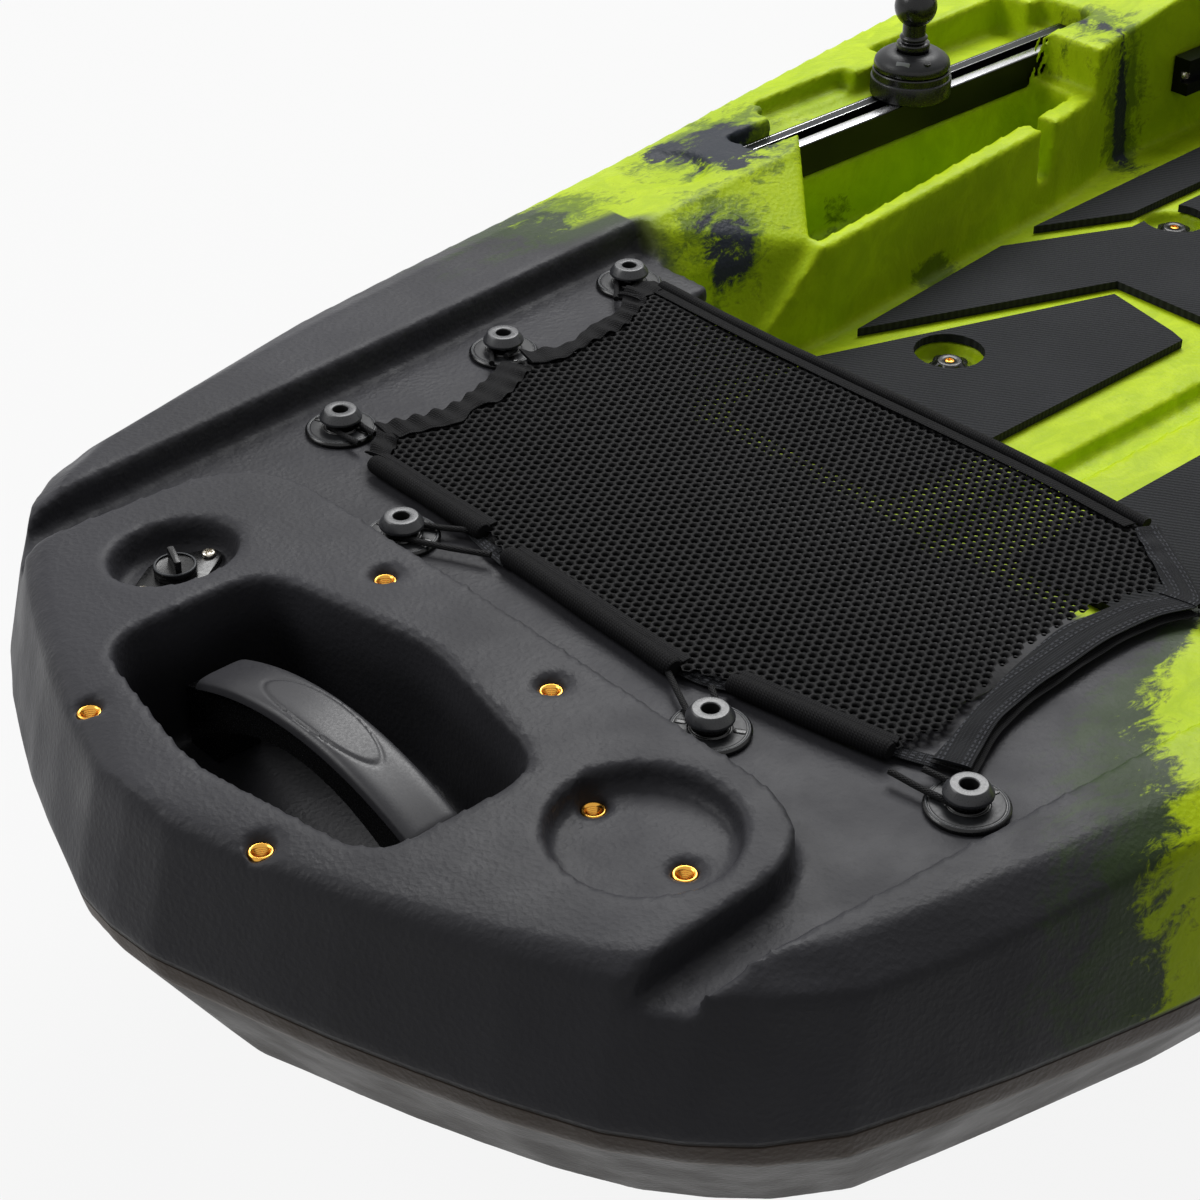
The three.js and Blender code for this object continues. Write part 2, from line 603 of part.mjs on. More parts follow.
// Two-eared flange with the bore of the plug through it
function drainFlange() {
  const { collarRadius, earRadius, screwReach, bore, flangeThick } = drain;
  const shape = new THREE.Shape();
  const sweepAngle = Math.PI / 3;
  shape.absarc(screwReach, 0, earRadius, -sweepAngle, sweepAngle, false);
  shape.absarc(0, 0, collarRadius, sweepAngle, Math.PI - sweepAngle, false);
  shape.absarc(-screwReach, 0, earRadius, Math.PI - sweepAngle, Math.PI + sweepAngle, false);
  shape.absarc(0, 0, collarRadius, Math.PI + sweepAngle, 2 * Math.PI - sweepAngle, false);
  const hole = new THREE.Path();
  hole.absarc(0, 0, bore, 0, 2 * Math.PI, true);
  shape.holes.push(hole);
  return new THREE.ExtrudeGeometry(shape, { depth: flangeThick, bevelEnabled: false, curveSegments: 4 });
}

// Screw plug: shank, round cap and the blade that fingers turn
function drainPlug() {
  const { capRadius, capThick, shankRadius, shankLength, bladeLength, bladeThick, bladeHeight } = drain;
  const under = drain.sealThick + seatGap;
  const rim = capThick / 3;
  const top = under + capThick - rim;
  const body = toSolid(lathe([
    [0, -shankLength], [shankRadius, -shankLength], [shankRadius, under], [capRadius, under],
    [capRadius, under + capThick], [capRadius - rim, under + capThick], [capRadius - rim, top], [0, top],
  ], fineSweep));
  const [reach, half] = [bladeLength / 2, bladeThick / 2];
  return toGeometry(body.add(block(-reach, reach, -half, half, under + rim, top + bladeHeight)));
}

function drainSeal() {
  const { capRadius, shankRadius, sealThick } = drain;
  return lathe([[shankRadius + seatGap, 0], [capRadius, 0], [capRadius, sealThick],
    [shankRadius + seatGap, sealThick], [shankRadius + seatGap, 0]]);
}

const panShares = [[0, 0], [1, 0], [0.96, 0.5], [0.7, 1], [0, 1]];

function panHead(radius, height) {
  return lathe(panShares.map(([r, z]) => [radius * r, height * z]));
}

// Arched bow handle: two feet on the recess floor and a bow between them
function handleFrame() {
  const { halfSpan, thick, footLength, footDrop, crownDrop, width } = handle;
  const floorZ = plateauHeight - handleRecess.depth + seatGap;
  const crownZ = plateauHeight - crownDrop - handle.gripThick;
  const endZ = plateauHeight - footDrop;
  const arch = (lift, reach) => new THREE.QuadraticBezierCurve(
    new THREE.Vector2(-reach, endZ + lift), new THREE.Vector2(0, 2 * crownZ - endZ + lift),
    new THREE.Vector2(reach, endZ + lift)).getPoints(sweep);
  const outer = arch(0, halfSpan);
  const inner = arch(-thick, halfSpan - footLength).reverse();
  const shape = new THREE.Shape([
    new THREE.Vector2(-halfSpan, floorZ), ...outer, new THREE.Vector2(halfSpan, floorZ),
    new THREE.Vector2(halfSpan - footLength, floorZ), ...inner,
    new THREE.Vector2(footLength - halfSpan, floorZ),
  ]);
  const geometry = new THREE.ExtrudeGeometry(shape, { depth: width, bevelEnabled: false });
  geometry.translate(0, 0, -width / 2);
  geometry.rotateX(Math.PI / 2);
  geometry.rotateZ(Math.PI / 2);
  return geometry;
}

// Satin cover that caps the bow of the handle: section as shares of its width and thickness
const gripShares = [[-0.5, 0], [0.5, 0], [0.5, 0.45], [0.3, 0.9], [0, 1], [-0.3, 0.9], [-0.5, 0.45]];

function handleGrip() {
  const { halfSpan, footDrop, crownDrop, gripThick, gripReach, gripWidth } = handle;
  const crownZ = plateauHeight - crownDrop - gripThick;
  const endZ = plateauHeight - footDrop;
  const curve = new THREE.QuadraticBezierCurve(new THREE.Vector2(-halfSpan, endZ),
    new THREE.Vector2(0, 2 * crownZ - endZ), new THREE.Vector2(halfSpan, endZ));
  const share = (1 - gripReach / halfSpan) / 2;
  const line = Array.from({ length: sweep + 1 }, (_, i) => (
    curve.getPoint(share + (i / sweep) * (1 - 2 * share))));
  const section = gripShares.map(([x, z]) => [x * gripWidth, z * gripThick]);
  const points = [];
  line.forEach((p) => section.forEach(([x, z]) => (
    points.push(new THREE.Vector3(x, p.x, p.y + seatGap + z)))));
  return sweptSkin(points, section.length);
}

// Faces of a row of like sections, closed by a fan at each end
function sweptSkin(points, sides) {
  const rows = points.length / sides;
  const faces = [];
  for (let r = 0; r < rows - 1; r += 1) {
    for (let k = 0; k < sides; k += 1) {
      const next = (k + 1) % sides;
      const [a, b] = [r * sides + k, r * sides + next];
      faces.push([a, a + sides, b + sides], [a, b + sides, b]);
    }
  }
  for (let k = 1; k < sides - 1; k += 1) {
    faces.push([0, k, k + 1]);
    const base = (rows - 1) * sides;
    faces.push([base, base + k + 1, base + k]);
  }
  return skin(points, faces);
}

function bungeeButton() {
  const { discRadius, discThick, bevel, stemRadius, stemTop, capRadius, capEdge, capTopRadius, height,
    holeRadius, holeFloor } = button;
  return lathe([
    [0, 0], [discRadius, 0], [discRadius, discThick - bevel], [discRadius - bevel, discThick],
    [stemRadius, discThick], [stemRadius, stemTop], [capRadius, stemTop], [capRadius, stemTop + capEdge],
    [capTopRadius, height], [holeRadius, height], [holeRadius, holeFloor], [0, holeFloor],
  ]);
}

// Corners of the net, port front first, going round by the bow edge
function netCorners() {
  return [
    [net.front, net.portFront], [net.front, -net.starboardFront], [net.waistX, -net.starboardWaist],
    [net.chamferX, -net.chamferY], [net.rear, -net.starboardRear], [net.rear, net.portRear],
    [(net.front + net.rear) / 2, (net.portFront + net.portRear) / 2],
  ];
}

// Width limits of the net at a place along X
function netSpan(x) {
  const t = (x - net.front) / (net.rear - net.front);
  const port = net.portFront + (net.portRear - net.portFront) * t;
  if (x < net.chamferX) {
    return [port, -net.starboardWaist];
  }
  const u = (x - net.chamferX) / (net.rear - net.chamferX);
  return [port, -net.chamferY + (net.chamferY - net.starboardRear) * u];
}

// Flat net: a sheet with rows of diamond gaps
function meshNet() {
  const shape = flatShape(netCorners());
  const pitchX = (net.rear - net.front) / netHoles.countX;
  const half = netHoles.size / 2;
  for (let i = 0; i < netHoles.countX; i += 1) {
    const x = net.front + (i + 0.5) * pitchX;
    const [port, star] = netSpan(x + half);
    const [portBack] = netSpan(x - half);
    const pitchY = (Math.min(port, portBack) - star) / netHoles.countY;
    for (let k = 0; k < netHoles.countY; k += 1) {
      const y = star + (k + 0.5) * pitchY;
      const corners = [[half, 0], [0, -half], [-half, 0], [0, half]];
      shape.holes.push(new THREE.Path(corners.map(([dx, dy]) => new THREE.Vector2(x + dx, y + dy))));
    }
  }
  return new THREE.ExtrudeGeometry(shape, { depth: net.thick, bevelEnabled: false });
}

// Rolled hem along the bow edge, and the thin one across the well
function frontHem() {
  const x = net.front - hem.frontRadius - seatGap;
  return tube(new THREE.LineCurve3(new THREE.Vector3(x, net.portFront, 0),
    new THREE.Vector3(x, -net.starboardFront, 0)), hem.frontRadius, 1, 10);
}

function rearHem() {
  const x = net.rear + hem.rearRadius + seatGap;
  return tube(new THREE.LineCurve3(new THREE.Vector3(x, net.portRear, 0),
    new THREE.Vector3(x, -net.starboardRear, 0)), hem.rearRadius, 1, 8);
}

// Flat strap that follows an edge of the net, on its outer side
function edgeStrap(edge, side) {
  const inner = edge.map(([x, y]) => new THREE.Vector2(x, y + side * seatGap));
  const outer = edge.map(([x, y]) => new THREE.Vector2(x, y + side * (seatGap + hem.strapWidth))).reverse();
  const shape = new THREE.Shape([...inner, ...outer]);
  return new THREE.ExtrudeGeometry(shape, { depth: hem.strapThick, bevelEnabled: false });
}

// Elastic loop from two places on the hem, round the stem of its button
function bungeeLoop(first, second, [x, y]) {
  const radius = button.stemRadius + cordDiameter / 2 + 3 * seatGap;
  const last = loop.steps;
  const centre = new THREE.Vector2(x, y);
  const [start, end] = [new THREE.Vector2(...first), new THREE.Vector2(...second)];
  const away = centre.clone().sub(start.clone().lerp(end, 0.5)).normalize();
  const square = new THREE.Vector2(-away.y, away.x);
  const side = Math.sign(square.dot(start.clone().sub(end)));
  const arc = Array.from({ length: last + 1 }, (_, i) => {
    const angle = side * (Math.PI / 2 - (i / last) * Math.PI);
    return centre.clone().addScaledVector(away, radius * Math.cos(angle))
      .addScaledVector(square, radius * Math.sin(angle));
  });
  const points = [start, start.clone().lerp(arc[0], 0.5), ...arc, end.clone().lerp(arc[last], 0.5), end];
  const line = routed(points.map((p) => [p.x, p.y, 0]), loop.tension);
  return tube(line, cordDiameter / 2, loop.rings, 6);
}

// Where the two strands of each loop leave the cover
function loopStarts() {
  const clear = cordDiameter / 2 + seatGap;
  const frontX = net.front - 2 * hem.frontRadius - seatGap - clear;
  const { wide, narrow, gapPort, gapStarboard } = loop;
  const portY = (x) => netSpan(x)[0] + hem.strapWidth + seatGap + clear;
  const starY = -net.starboardFront - hem.strapWidth - seatGap - clear;
  const alongPort = (x) => [[x - narrow, portY(x - narrow)], [x + narrow, portY(x + narrow)]];
  const chamferY = -net.chamferY - hem.strapWidth - seatGap - clear;
  return [
    alongPort(buttonPlaces[0][0] - narrow - wide), alongPort(buttonPlaces[1][0] - wide),
    alongPort(net.front + wide),
    [[frontX, gapPort - narrow], [frontX, gapPort + narrow]],
    [[frontX, gapStarboard + wide], [frontX, gapStarboard - wide]],
    [[net.front + wide - narrow, starY], [net.front + wide + narrow, starY]],
    [[net.chamferX - narrow, chamferY], [net.chamferX + narrow, chamferY]],
  ];
}

function padOutlines() {
  const { rear, wallY, midY, stripWidth, inner } = pad;
  const f = padFront;
  const m = padMiddle;
  const w = padWall;
  return [
    [[f.front, f.frontOuter], [f.knee, f.kneeOuter], [f.tip, f.tipOuter], [f.tip - stripWidth, f.tipInner],
      [f.tipBack, inner], [f.front, inner]],
    [[m.tip, m.tipY], [m.kneeX, m.kneeY], [m.turnX, midY], [rear, midY], [rear, inner], [m.notchX, inner],
      [m.notchX, m.notchY]],
    [[w.tip, w.tipY], [rear, wallY], [rear, midY + stripWidth], [w.turnX, midY + stripWidth]],
  ];
}

// Glued floor pad with room round the anchors
function floorPad(outline, side) {
  const shape = flatShape(outline.map(([x, y]) => [x, y * side]));
  let solid = toSolid(new THREE.ExtrudeGeometry(shape, { depth: pad.thick, bevelEnabled: false }));
  anchor.places.forEach(([x, y]) => {
    const hole = barrel(pad.holeRadius, -pad.thick, 2 * pad.thick, fineSweep);
    hole.translate(x, y * side, 0);
    solid = solid.subtract(toSolid(hole));
  });
  return toGeometry(solid);
}

// Lobed anchor knob with its centre screw
function floorAnchor() {
  const { radius, lobeRadius, lobes, height, shoulder: edge, topRadius, screwRadius, lobeReach } = anchor;
  const recess = height - anchor.screwDrop;
  let solid = toSolid(lathe([[0, 0], [radius, 0], [radius, edge], [topRadius, height],
    [screwRadius, height], [screwRadius, recess], [0, recess]]));
  for (let i = 0; i < lobes; i += 1) {
    const angle = (i / lobes) * 2 * Math.PI;
    const lobe = barrel(lobeRadius, 0, edge, 6);
    lobe.translate(lobeReach * Math.cos(angle), lobeReach * Math.sin(angle), 0);
    solid = solid.add(toSolid(lobe));
  }
  return toGeometry(solid);
}

// A section drawn in Y and Z, run out along X
function alongX(shape, length) {
  const geometry = new THREE.ExtrudeGeometry(shape, { depth: length, bevelEnabled: false });
  geometry.rotateX(Math.PI / 2);
  geometry.rotateZ(Math.PI / 2);
  return geometry;
}

// T-slot extrusion of the gear track
function gearTrack() {
  const { width, height, slot, lip, cavity, cavityHeight, length } = track;
  const [w, s, c] = [width / 2, slot / 2, cavity / 2];
  const top = height - lip;
  const shape = flatShape([[-w, 0], [w, 0], [w, height], [s, height], [s, top], [c, top],
    [c, top - cavityHeight], [-c, top - cavityHeight], [-c, top], [-s, top], [-s, height], [-w, height]]);
  return alongX(shape, length);
}

// T-bolt: its square head runs in the track's cavity
function mountBolt() {
  const half = mount.headLength / 2;
  const headFloor = track.height - track.lip - seatGap - mount.headHeight;
  const head = block(-half, half, -half, half, headFloor, headFloor + mount.headHeight);
  const shaft = toSolid(barrel(mount.shaft, headFloor + seatGap, track.height + mount.baseHeight));
  return toGeometry(head.add(shaft));
}

function mountBase() {
  const { baseRadius, baseHeight, baseChamfer: edge, bore } = mount;
  const groove = baseHeight * grooveShare;
  return lathe([[bore, 0], [baseRadius - edge, 0], [baseRadius, edge], [baseRadius, groove],
    [baseRadius - edge, groove], [baseRadius - edge, baseHeight], [bore, baseHeight], [bore, 0]], fineSweep);
}

function mountCollar() {
  const { collarRadius, collarHeight, spigot } = mount;
  const bore = spigot + seatGap;
  const outside = collarShares.map(([r, z]) => [collarRadius * r, collarHeight * z]);
  return lathe([[bore, 0], ...outside, [bore, collarHeight], [bore, 0]], fineSweep);
}

const ballSteps = 7;

// Spigot, stacked rings, neck and ball
function mountBall() {
  const { spigot, spigotGap, collarHeight, ringRadius, ringHeight, neckRadius, ballRadius } = mount;
  const foot = mount.baseHeight + seatGap;
  const centre = mount.ballRise - track.top;
  const join = Math.asin(neckRadius / ballRadius);
  const ball = Array.from({ length: ballSteps + 1 }, (_, i) => {
    const angle = join + (i / ballSteps) * (Math.PI - join);
    return [i < ballSteps ? ballRadius * Math.sin(angle) : 0, centre - ballRadius * Math.cos(angle)];
  });
  const ring = foot + collarHeight + spigotGap;
  const bead = ring + ringHeight + spigotGap;
  return lathe([[0, foot + spigotGap], [spigot, foot + spigotGap], [spigot, ring - spigotGap],
    [ringRadius, ring], [ringRadius, ring + ringHeight], [neckRadius, bead],
    [mount.beadRadius, bead + mount.beadHeight], [neckRadius, bead + mount.beadHeight * 2], ...ball], 16);
}

// Foot brace rail: a bar with a long slot, and the pedal that runs on it
function footRail() {
  const { length, width, height, slotHeight, slotDepth } = rail;
  const [low, high, back] = [(height - slotHeight) / 2, (height + slotHeight) / 2, width - slotDepth];
  const shape = flatShape([[0, 0], [width, 0], [width, low], [back, low], [back, high], [width, high],
    [width, height], [0, height]]);
  return alongX(shape, length);
}

function footPedal() {
  const { plate, reach, height, shoe } = pedal;
  const tongue = rail.slotHeight / 2 - seatGap;
  const mid = rail.height / 2;
  const lean = height * pedalShares.lean;
  const low = -height * pedalShares.below;
  const face = flatShape([[0, low], [plate, low], [plate + lean, low + height], [lean, low + height]]);
  const blade = new THREE.ExtrudeGeometry(face, { depth: reach, bevelEnabled: false });
  blade.rotateX(Math.PI / 2);
  blade.translate(0, reach + rail.width + seatGap * 2, mid);
  const outer = rail.width + plate;
  const foot = block(-shoe, shoe, rail.width + seatGap, outer, 0, rail.height);
  const key = block(-shoe, shoe, rail.width - rail.slotDepth + seatGap, outer, mid - tongue, mid + tongue);
  return toGeometry(toSolid(blade).add(foot).add(key));
}

// A tube with a ring at each point of a line that lies in one plane
function ringedTube(line, upright, radius, sides, closed) {
  const count = line.length;
  const along = (i) => {
    const [from, to] = [line[(i + count) % count], line[(i + 1) % count]];
    return to.clone().sub(from).normalize();
  };
  const points = [];
  line.forEach((p, i) => {
    const into = closed || i > 0 ? along(i - 1) : along(0);
    const outOf = closed || i < count - 1 ? along(i) : into;
    const aside = new THREE.Vector3().crossVectors(into.clone().add(outOf), upright).normalize();
    for (let k = 0; k < sides; k += 1) {
      const angle = (k / sides) * 2 * Math.PI;
      points.push(p.clone().addScaledVector(aside, radius * Math.cos(angle))
        .addScaledVector(upright, radius * Math.sin(angle)));
    }
  });
  return closed ? ringSkin(points, sides) : sweptSkin(points, sides);
}

function ringSkin(points, sides) {
  const rows = points.length / sides;
  const faces = [];
  for (let i = 0; i < rows; i += 1) {
    for (let k = 0; k < sides; k += 1) {
      const [a, b] = [i * sides + k, i * sides + (k + 1) % sides];
      const [c, d] = [((i + 1) % rows) * sides + k, ((i + 1) % rows) * sides + (k + 1) % sides];
      faces.push([a, c, d], [a, d, b]);
    }
  }
  return skin(points, faces);
}

// Seat: a rounded loop on four legs, with a lug and a pin for the back on each side
function seatBase() {
  const { tube: r, front, rear, halfWidth, corner, z, hingeRise, legInset, lug } = seat;
  const upright = new THREE.Vector3(0, 0, 1);
  const corners = symmetricOutline([[front, halfWidth], [rear, halfWidth]]);
  const line = roundCorners(corners, corner).map(([x, y]) => new THREE.Vector3(x, y, z));
  let solid = toSolid(ringedTube(line, upright, r, tubeSides, true));
  const deck = -seatDeck.drop + seatGap;
  const inner = halfWidth - r;
  const pinEnd = seat.backHalfWidth - r;
  for (const side of [1, -1]) {
    for (const x of [front + legInset, rear - legInset]) {
      const leg = new THREE.CylinderGeometry(r * legShares.top, r * legShares.foot, z - deck, tubeSides);
      leg.rotateX(Math.PI / 2);
      leg.translate(x, halfWidth * side, (z + deck) / 2);
      solid = solid.add(toSolid(leg));
    }
    const [near, far] = [inner * side, (inner + lug) * side];
    solid = solid.add(block(hinge.x - r, hinge.x + r, Math.min(near, far), Math.max(near, far), z,
      z + hingeRise + r));
    const pin = new THREE.CylinderGeometry(seat.pin, seat.pin, inner + lug / 2 - pinEnd, sweep);
    pin.translate(hinge.x, side * (inner + lug / 2 + pinEnd) / 2, z + hingeRise);
    solid = solid.add(toSolid(pin));
  }
  return toGeometry(solid);
}

// Back frame: an arch with a bored eye round each hinge pin
function seatBack() {
  const { tube: r, backHalfWidth: w, backHeight, backCorner } = seat;
  const lean = THREE.MathUtils.degToRad(seat.backLean);
  const top = (backHeight - r) / Math.cos(lean);
  const upright = new THREE.Vector3(Math.cos(lean), 0, -Math.sin(lean));
  const corners = [[0, w], [top, w], [top, -w], [0, -w]];
  const line = roundCorners(corners, [0, backCorner, backCorner, 0], cornerSteps + 2).map(([up, y]) => (
    new THREE.Vector3(hinge.x + up * Math.sin(lean), y, hinge.z + up * Math.cos(lean))));
  let solid = toSolid(ringedTube(line, upright, r, tubeSides, false));
  for (const side of [1, -1]) {
    const eye = new THREE.CylinderGeometry(seat.eye, seat.eye, r * 2, sweep);
    eye.translate(hinge.x, side * w, hinge.z);
    const bore = new THREE.CylinderGeometry(seat.pin + seatGap, seat.pin + seatGap, seat.backCorner, sweep);
    bore.translate(hinge.x, side * w, hinge.z);
    solid = solid.add(toSolid(eye)).subtract(toSolid(bore));
  }
  return toGeometry(solid);
}

const slingGrid = { rows: 8, columns: 10, endShare: 0.75 };

// Fabric between two rails: a thin dished panel
function slingPanel(length, halfWidth, sag, thick) {
  const { rows, columns, endShare } = slingGrid;
  const points = [];
  const faces = [];
  const index = (i, k, layer) => (layer * (rows + 1) + i) * (columns + 1) + k;
  for (const layer of [0, 1]) {
    for (let i = 0; i <= rows; i += 1) {
      for (let k = 0; k <= columns; k += 1) {
        const [u, v] = [i / rows, (k / columns) * 2 - 1];
        const dip = sag * (1 - v * v) * (endShare + (1 - endShare) * Math.sin(Math.PI * u));
        points.push(new THREE.Vector3(u * length, v * halfWidth, layer * thick - dip));
      }
    }
  }
  for (let i = 0; i < rows; i += 1) {
    for (let k = 0; k < columns; k += 1) {
      const [a, b, c, d] = [index(i, k, 1), index(i + 1, k, 1), index(i + 1, k + 1, 1), index(i, k + 1, 1)];
      const [e, f, g, h] = [index(i, k, 0), index(i + 1, k, 0), index(i + 1, k + 1, 0), index(i, k + 1, 0)];
      faces.push([a, b, c], [a, c, d], [e, g, f], [e, h, g]);
    }
  }
  const rim = [];
  for (let k = 0; k < columns; k += 1) rim.push([0, k]);
  for (let i = 0; i < rows; i += 1) rim.push([i, columns]);
  for (let k = columns; k > 0; k -= 1) rim.push([rows, k]);
  for (let i = rows; i > 0; i -= 1) rim.push([i, 0]);
  rim.forEach(([i, k], n) => {
    const [j, l] = rim[(n + 1) % rim.length];
    const [a, b, c, d] = [index(i, k, 0), index(i, k, 1), index(j, l, 1), index(j, l, 0)];
    faces.push([a, b, c], [a, c, d]);
  });
  return skin(points, faces);
}

// Carry handle: two screw pads and a bowed grip, drawn as shares of its span and rise
const gripLineShares = [[-0.4, 0.55], [-0.22, 0.95], [0, 1], [0.22, 0.95], [0.4, 0.55]];

function carryHandle(span, rise) {
  const { grip, pad: padLength, padReach, padThick } = carry;
  const bow = gripLineShares.map(([x, z]) => [span * x, 0, rise * z]);
  const line = [[-span / 2, 0, padThick / 2], ...bow, [span / 2, 0, padThick / 2]];
  let solid = toSolid(tube(routed(line), grip / 2, 16, tubeSides));
  for (const side of [1, -1]) {
    const x = side * (span / 2 + padReach);
    solid = solid.add(block(x - padLength / 2, x + padLength / 2, -grip, grip, 0, padThick));
  }
  return toGeometry(solid.subtract(block(-span, span, -span, span, -span, 0)));
}

// Height of the hull's top skin inside its rim, at a place along X
function rimTop(x) {
  return sheerRise * shareAt(ledgeRiseShares, (x + bowSetback) / hullLength);
}

const kayak = new THREE.Group();
kayak.position.set(bowSetback - hullLength / 2, 0, deckHeight);

function put(name, geometry, material, x = 0, y = 0, z = 0) {
  const mesh = new THREE.Mesh(weld(geometry), material);
  mesh.name = name;
  mesh.position.set(x, y, z);
  kayak.add(mesh);
  return mesh;
}

function addHullAndInserts() {
  put("hull", toGeometry(hull()), finish.charcoal);
  const cupFloor = plateauHeight - cupRecess.depth;
  deckInserts.forEach(([x, y], i) => {
    put(`insert_${i + 1}`, brassInsert(), finish.brass, x, y, plateauHeight - insert.counterDepth);
  });
  cupInserts.forEach(([x, y], i) => {
    put(`insert_${i + 5}`, brassInsert(), finish.brass, x, y, cupFloor - insert.counterDepth);
  });
}

function addDrain() {
  const drainGroup = new THREE.Group();
  const floorZ = plateauHeight - ovalRecess.depth + seatGap;
  drainGroup.position.set(ovalRecess.x, ovalRecess.y, floorZ);
  drainGroup.rotation.z = THREE.MathUtils.degToRad(drain.turn);
  kayak.add(drainGroup);
  const top = drain.flangeThick + seatGap;
  drainGroup.add(put("drain_flange", drainFlange(), finish.black));
  const screw = panHead(drain.screwRadius, drain.screwHeight);
  drainGroup.add(put("drain_screw_1", screw, finish.steel, drain.screwReach, 0, top));
  drainGroup.add(put("drain_screw_2", screw, finish.steel, -drain.screwReach, 0, top));
  drainGroup.add(put("drain_seal", drainSeal(), finish.rubber, 0, 0, top));
  drainGroup.add(put("drain_plug", drainPlug(), finish.black, 0, 0, top));
}

function addMeshCover() {
  put("mesh_net", meshNet(), finish.mesh, 0, 0, net.z);
  put("mesh_hem_front", frontHem(), finish.mesh, 0, 0, hem.frontRadius + seatGap);
  put("mesh_hem_rear", rearHem(), finish.mesh, 0, 0, net.z + net.thick / 2);
  const portEdge = [[net.front, net.portFront], [net.rear, net.portRear]];
  const starEdge = [[net.front, -net.starboardFront], [net.waistX, -net.starboardWaist],
    [net.chamferX, -net.chamferY], [net.rear, -net.starboardRear]];
  put("mesh_strap_port", edgeStrap(portEdge, 1), finish.mesh, 0, 0, net.z);
  put("mesh_strap_starboard", edgeStrap(starEdge, -1), finish.mesh, 0, 0, net.z);
  const cordZ = button.discThick + (button.stemTop - button.discThick) / 2;
  const starts = loopStarts();
  buttonPlaces.forEach(([x, y], i) => {
    put(`bungee_button_${i + 1}`, bungeeButton(), finish.black, x, y, seatGap);
    put(`bungee_loop_${i + 1}`, bungeeLoop(...starts[i], [x, y]), finish.rubber, 0, 0, cordZ + seatGap);
  });
}

function addFloor() {
  const floorZ = -cockpit.floorDrop + seatGap;
  padOutlines().forEach((outline, i) => {
    put(`floor_pad_port_${i + 1}`, floorPad(outline, 1), finish.foam, 0, 0, floorZ);
    put(`floor_pad_starboard_${i + 1}`, floorPad(outline, -1), finish.foam, 0, 0, floorZ);
  });
  anchor.places.forEach(([x, y], i) => {
    put(`floor_anchor_${2 * i + 1}`, floorAnchor(), finish.black, x, y, floorZ - anchor.recessDepth);
    put(`floor_anchor_${2 * i + 2}`, floorAnchor(), finish.black, x, -y, floorZ - anchor.recessDepth);
  });
}

function addTracks() {
  const trackZ = track.top - track.height;
  put("gear_track_port", gearTrack(), finish.anodised, track.front, track.y, trackZ);
  put("gear_track_starboard", gearTrack(), finish.anodised, track.front, -track.y, trackZ);
  put("mount_bolt", mountBolt(), finish.steel, mount.x, track.y, trackZ);
  const baseZ = track.top + seatGap;
  put("mount_base", mountBase(), finish.black, mount.x, track.y, baseZ);
  put("mount_collar", mountCollar(), finish.black, mount.x, track.y, baseZ + mount.baseHeight + seatGap);
  put("mount_ball", mountBall(), finish.rubber, mount.x, track.y, baseZ);
}

function addFootBraces() {
  const slope = cockpit.draft / (cockpit.floorDrop + plateauHeight);
  const y = cockpit.halfWidth + slope * (cockpit.floorDrop + rail.z) - seatGap;
  put("foot_rail_port", mirrored(footRail()), finish.anodised, rail.front, y, rail.z);
  put("foot_rail_starboard", footRail(), finish.anodised, rail.front, -y, rail.z);
  put("foot_pedal_port", mirrored(footPedal()), finish.black, pedal.x, y, rail.z);
  put("foot_pedal_starboard", footPedal(), finish.black, pedal.x, -y, rail.z);
}

// The same shape on the other side of the centre line
function mirrored(geometry) {
  const solid = toSolid(geometry);
  const mesh = solid.getMesh();
  const points = [];
  for (let i = 0; i < mesh.vertProperties.length; i += 3) {
    const [x, y, z] = mesh.vertProperties.slice(i, i + 3);
    points.push(new THREE.Vector3(x, -y, z));
  }
  const faces = [];
  for (let i = 0; i < mesh.triVerts.length; i += 3) {
    const [a, b, c] = mesh.triVerts.slice(i, i + 3);
    faces.push([a, c, b]);
  }
  return skin(points, faces);
}

function addSeat() {
  const { tube: r, front, rear, halfWidth, z, slingThick, slingSag, slingInset, backLean } = seat;
  put("seat_frame", seatBase(), finish.anodised);
  put("seat_back_frame", seatBack(), finish.anodised);
  const clear = r + seatGap;
  const seatPanel = slingPanel(rear - front - slingInset * 2, halfWidth - clear, slingSag, slingThick);
  put("seat_sling", seatPanel, finish.mesh, front + slingInset, 0, z);
  const backPanel = slingPanel(seat.backSlingLength, seat.backHalfWidth - clear, slingSag, slingThick);
  const lean = THREE.MathUtils.degToRad(backLean);
  backPanel.rotateY(lean - Math.PI / 2);
  const lift = seat.backSlingLift;
  const [slingX, slingZ] = [hinge.x + lift * Math.sin(lean), hinge.z + lift * Math.cos(lean)];
  put("back_sling", backPanel, finish.mesh, slingX, 0, slingZ);
}

function addHandles() {
  put("bow_handle_frame", handleFrame(), finish.black, handle.x, 0, 0);
  put("bow_handle_grip", handleGrip(), finish.grip, handle.x, 0, 0);
  const top = rimTop(carry.x) + seatGap * 2;
  const side = carryHandle(carry.span, carry.rise);
  const sideY = hullBeam / 2 - rimWidth - carry.inset;
  put("carry_handle_port", side, finish.black, carry.x, sideY, top);
  put("carry_handle_starboard", side, finish.black, carry.x, -sideY, top);
  const stern = carryHandle(sternHandle.span, sternHandle.rise);
  stern.rotateZ(Math.PI / 2);
  const sternX = hullLength - bowSetback - sternHandle.inset;
  const sternTop = rimTop(sternX) + plateauCrown + seatGap - sternHandle.sink;
  put("stern_handle", stern, finish.black, sternX, 0, sternTop);
}

addHullAndInserts();
addDrain();
addHandles();
addMeshCover();
addFloor();
addTracks();
addFootBraces();
addSeat();

export default kayak;
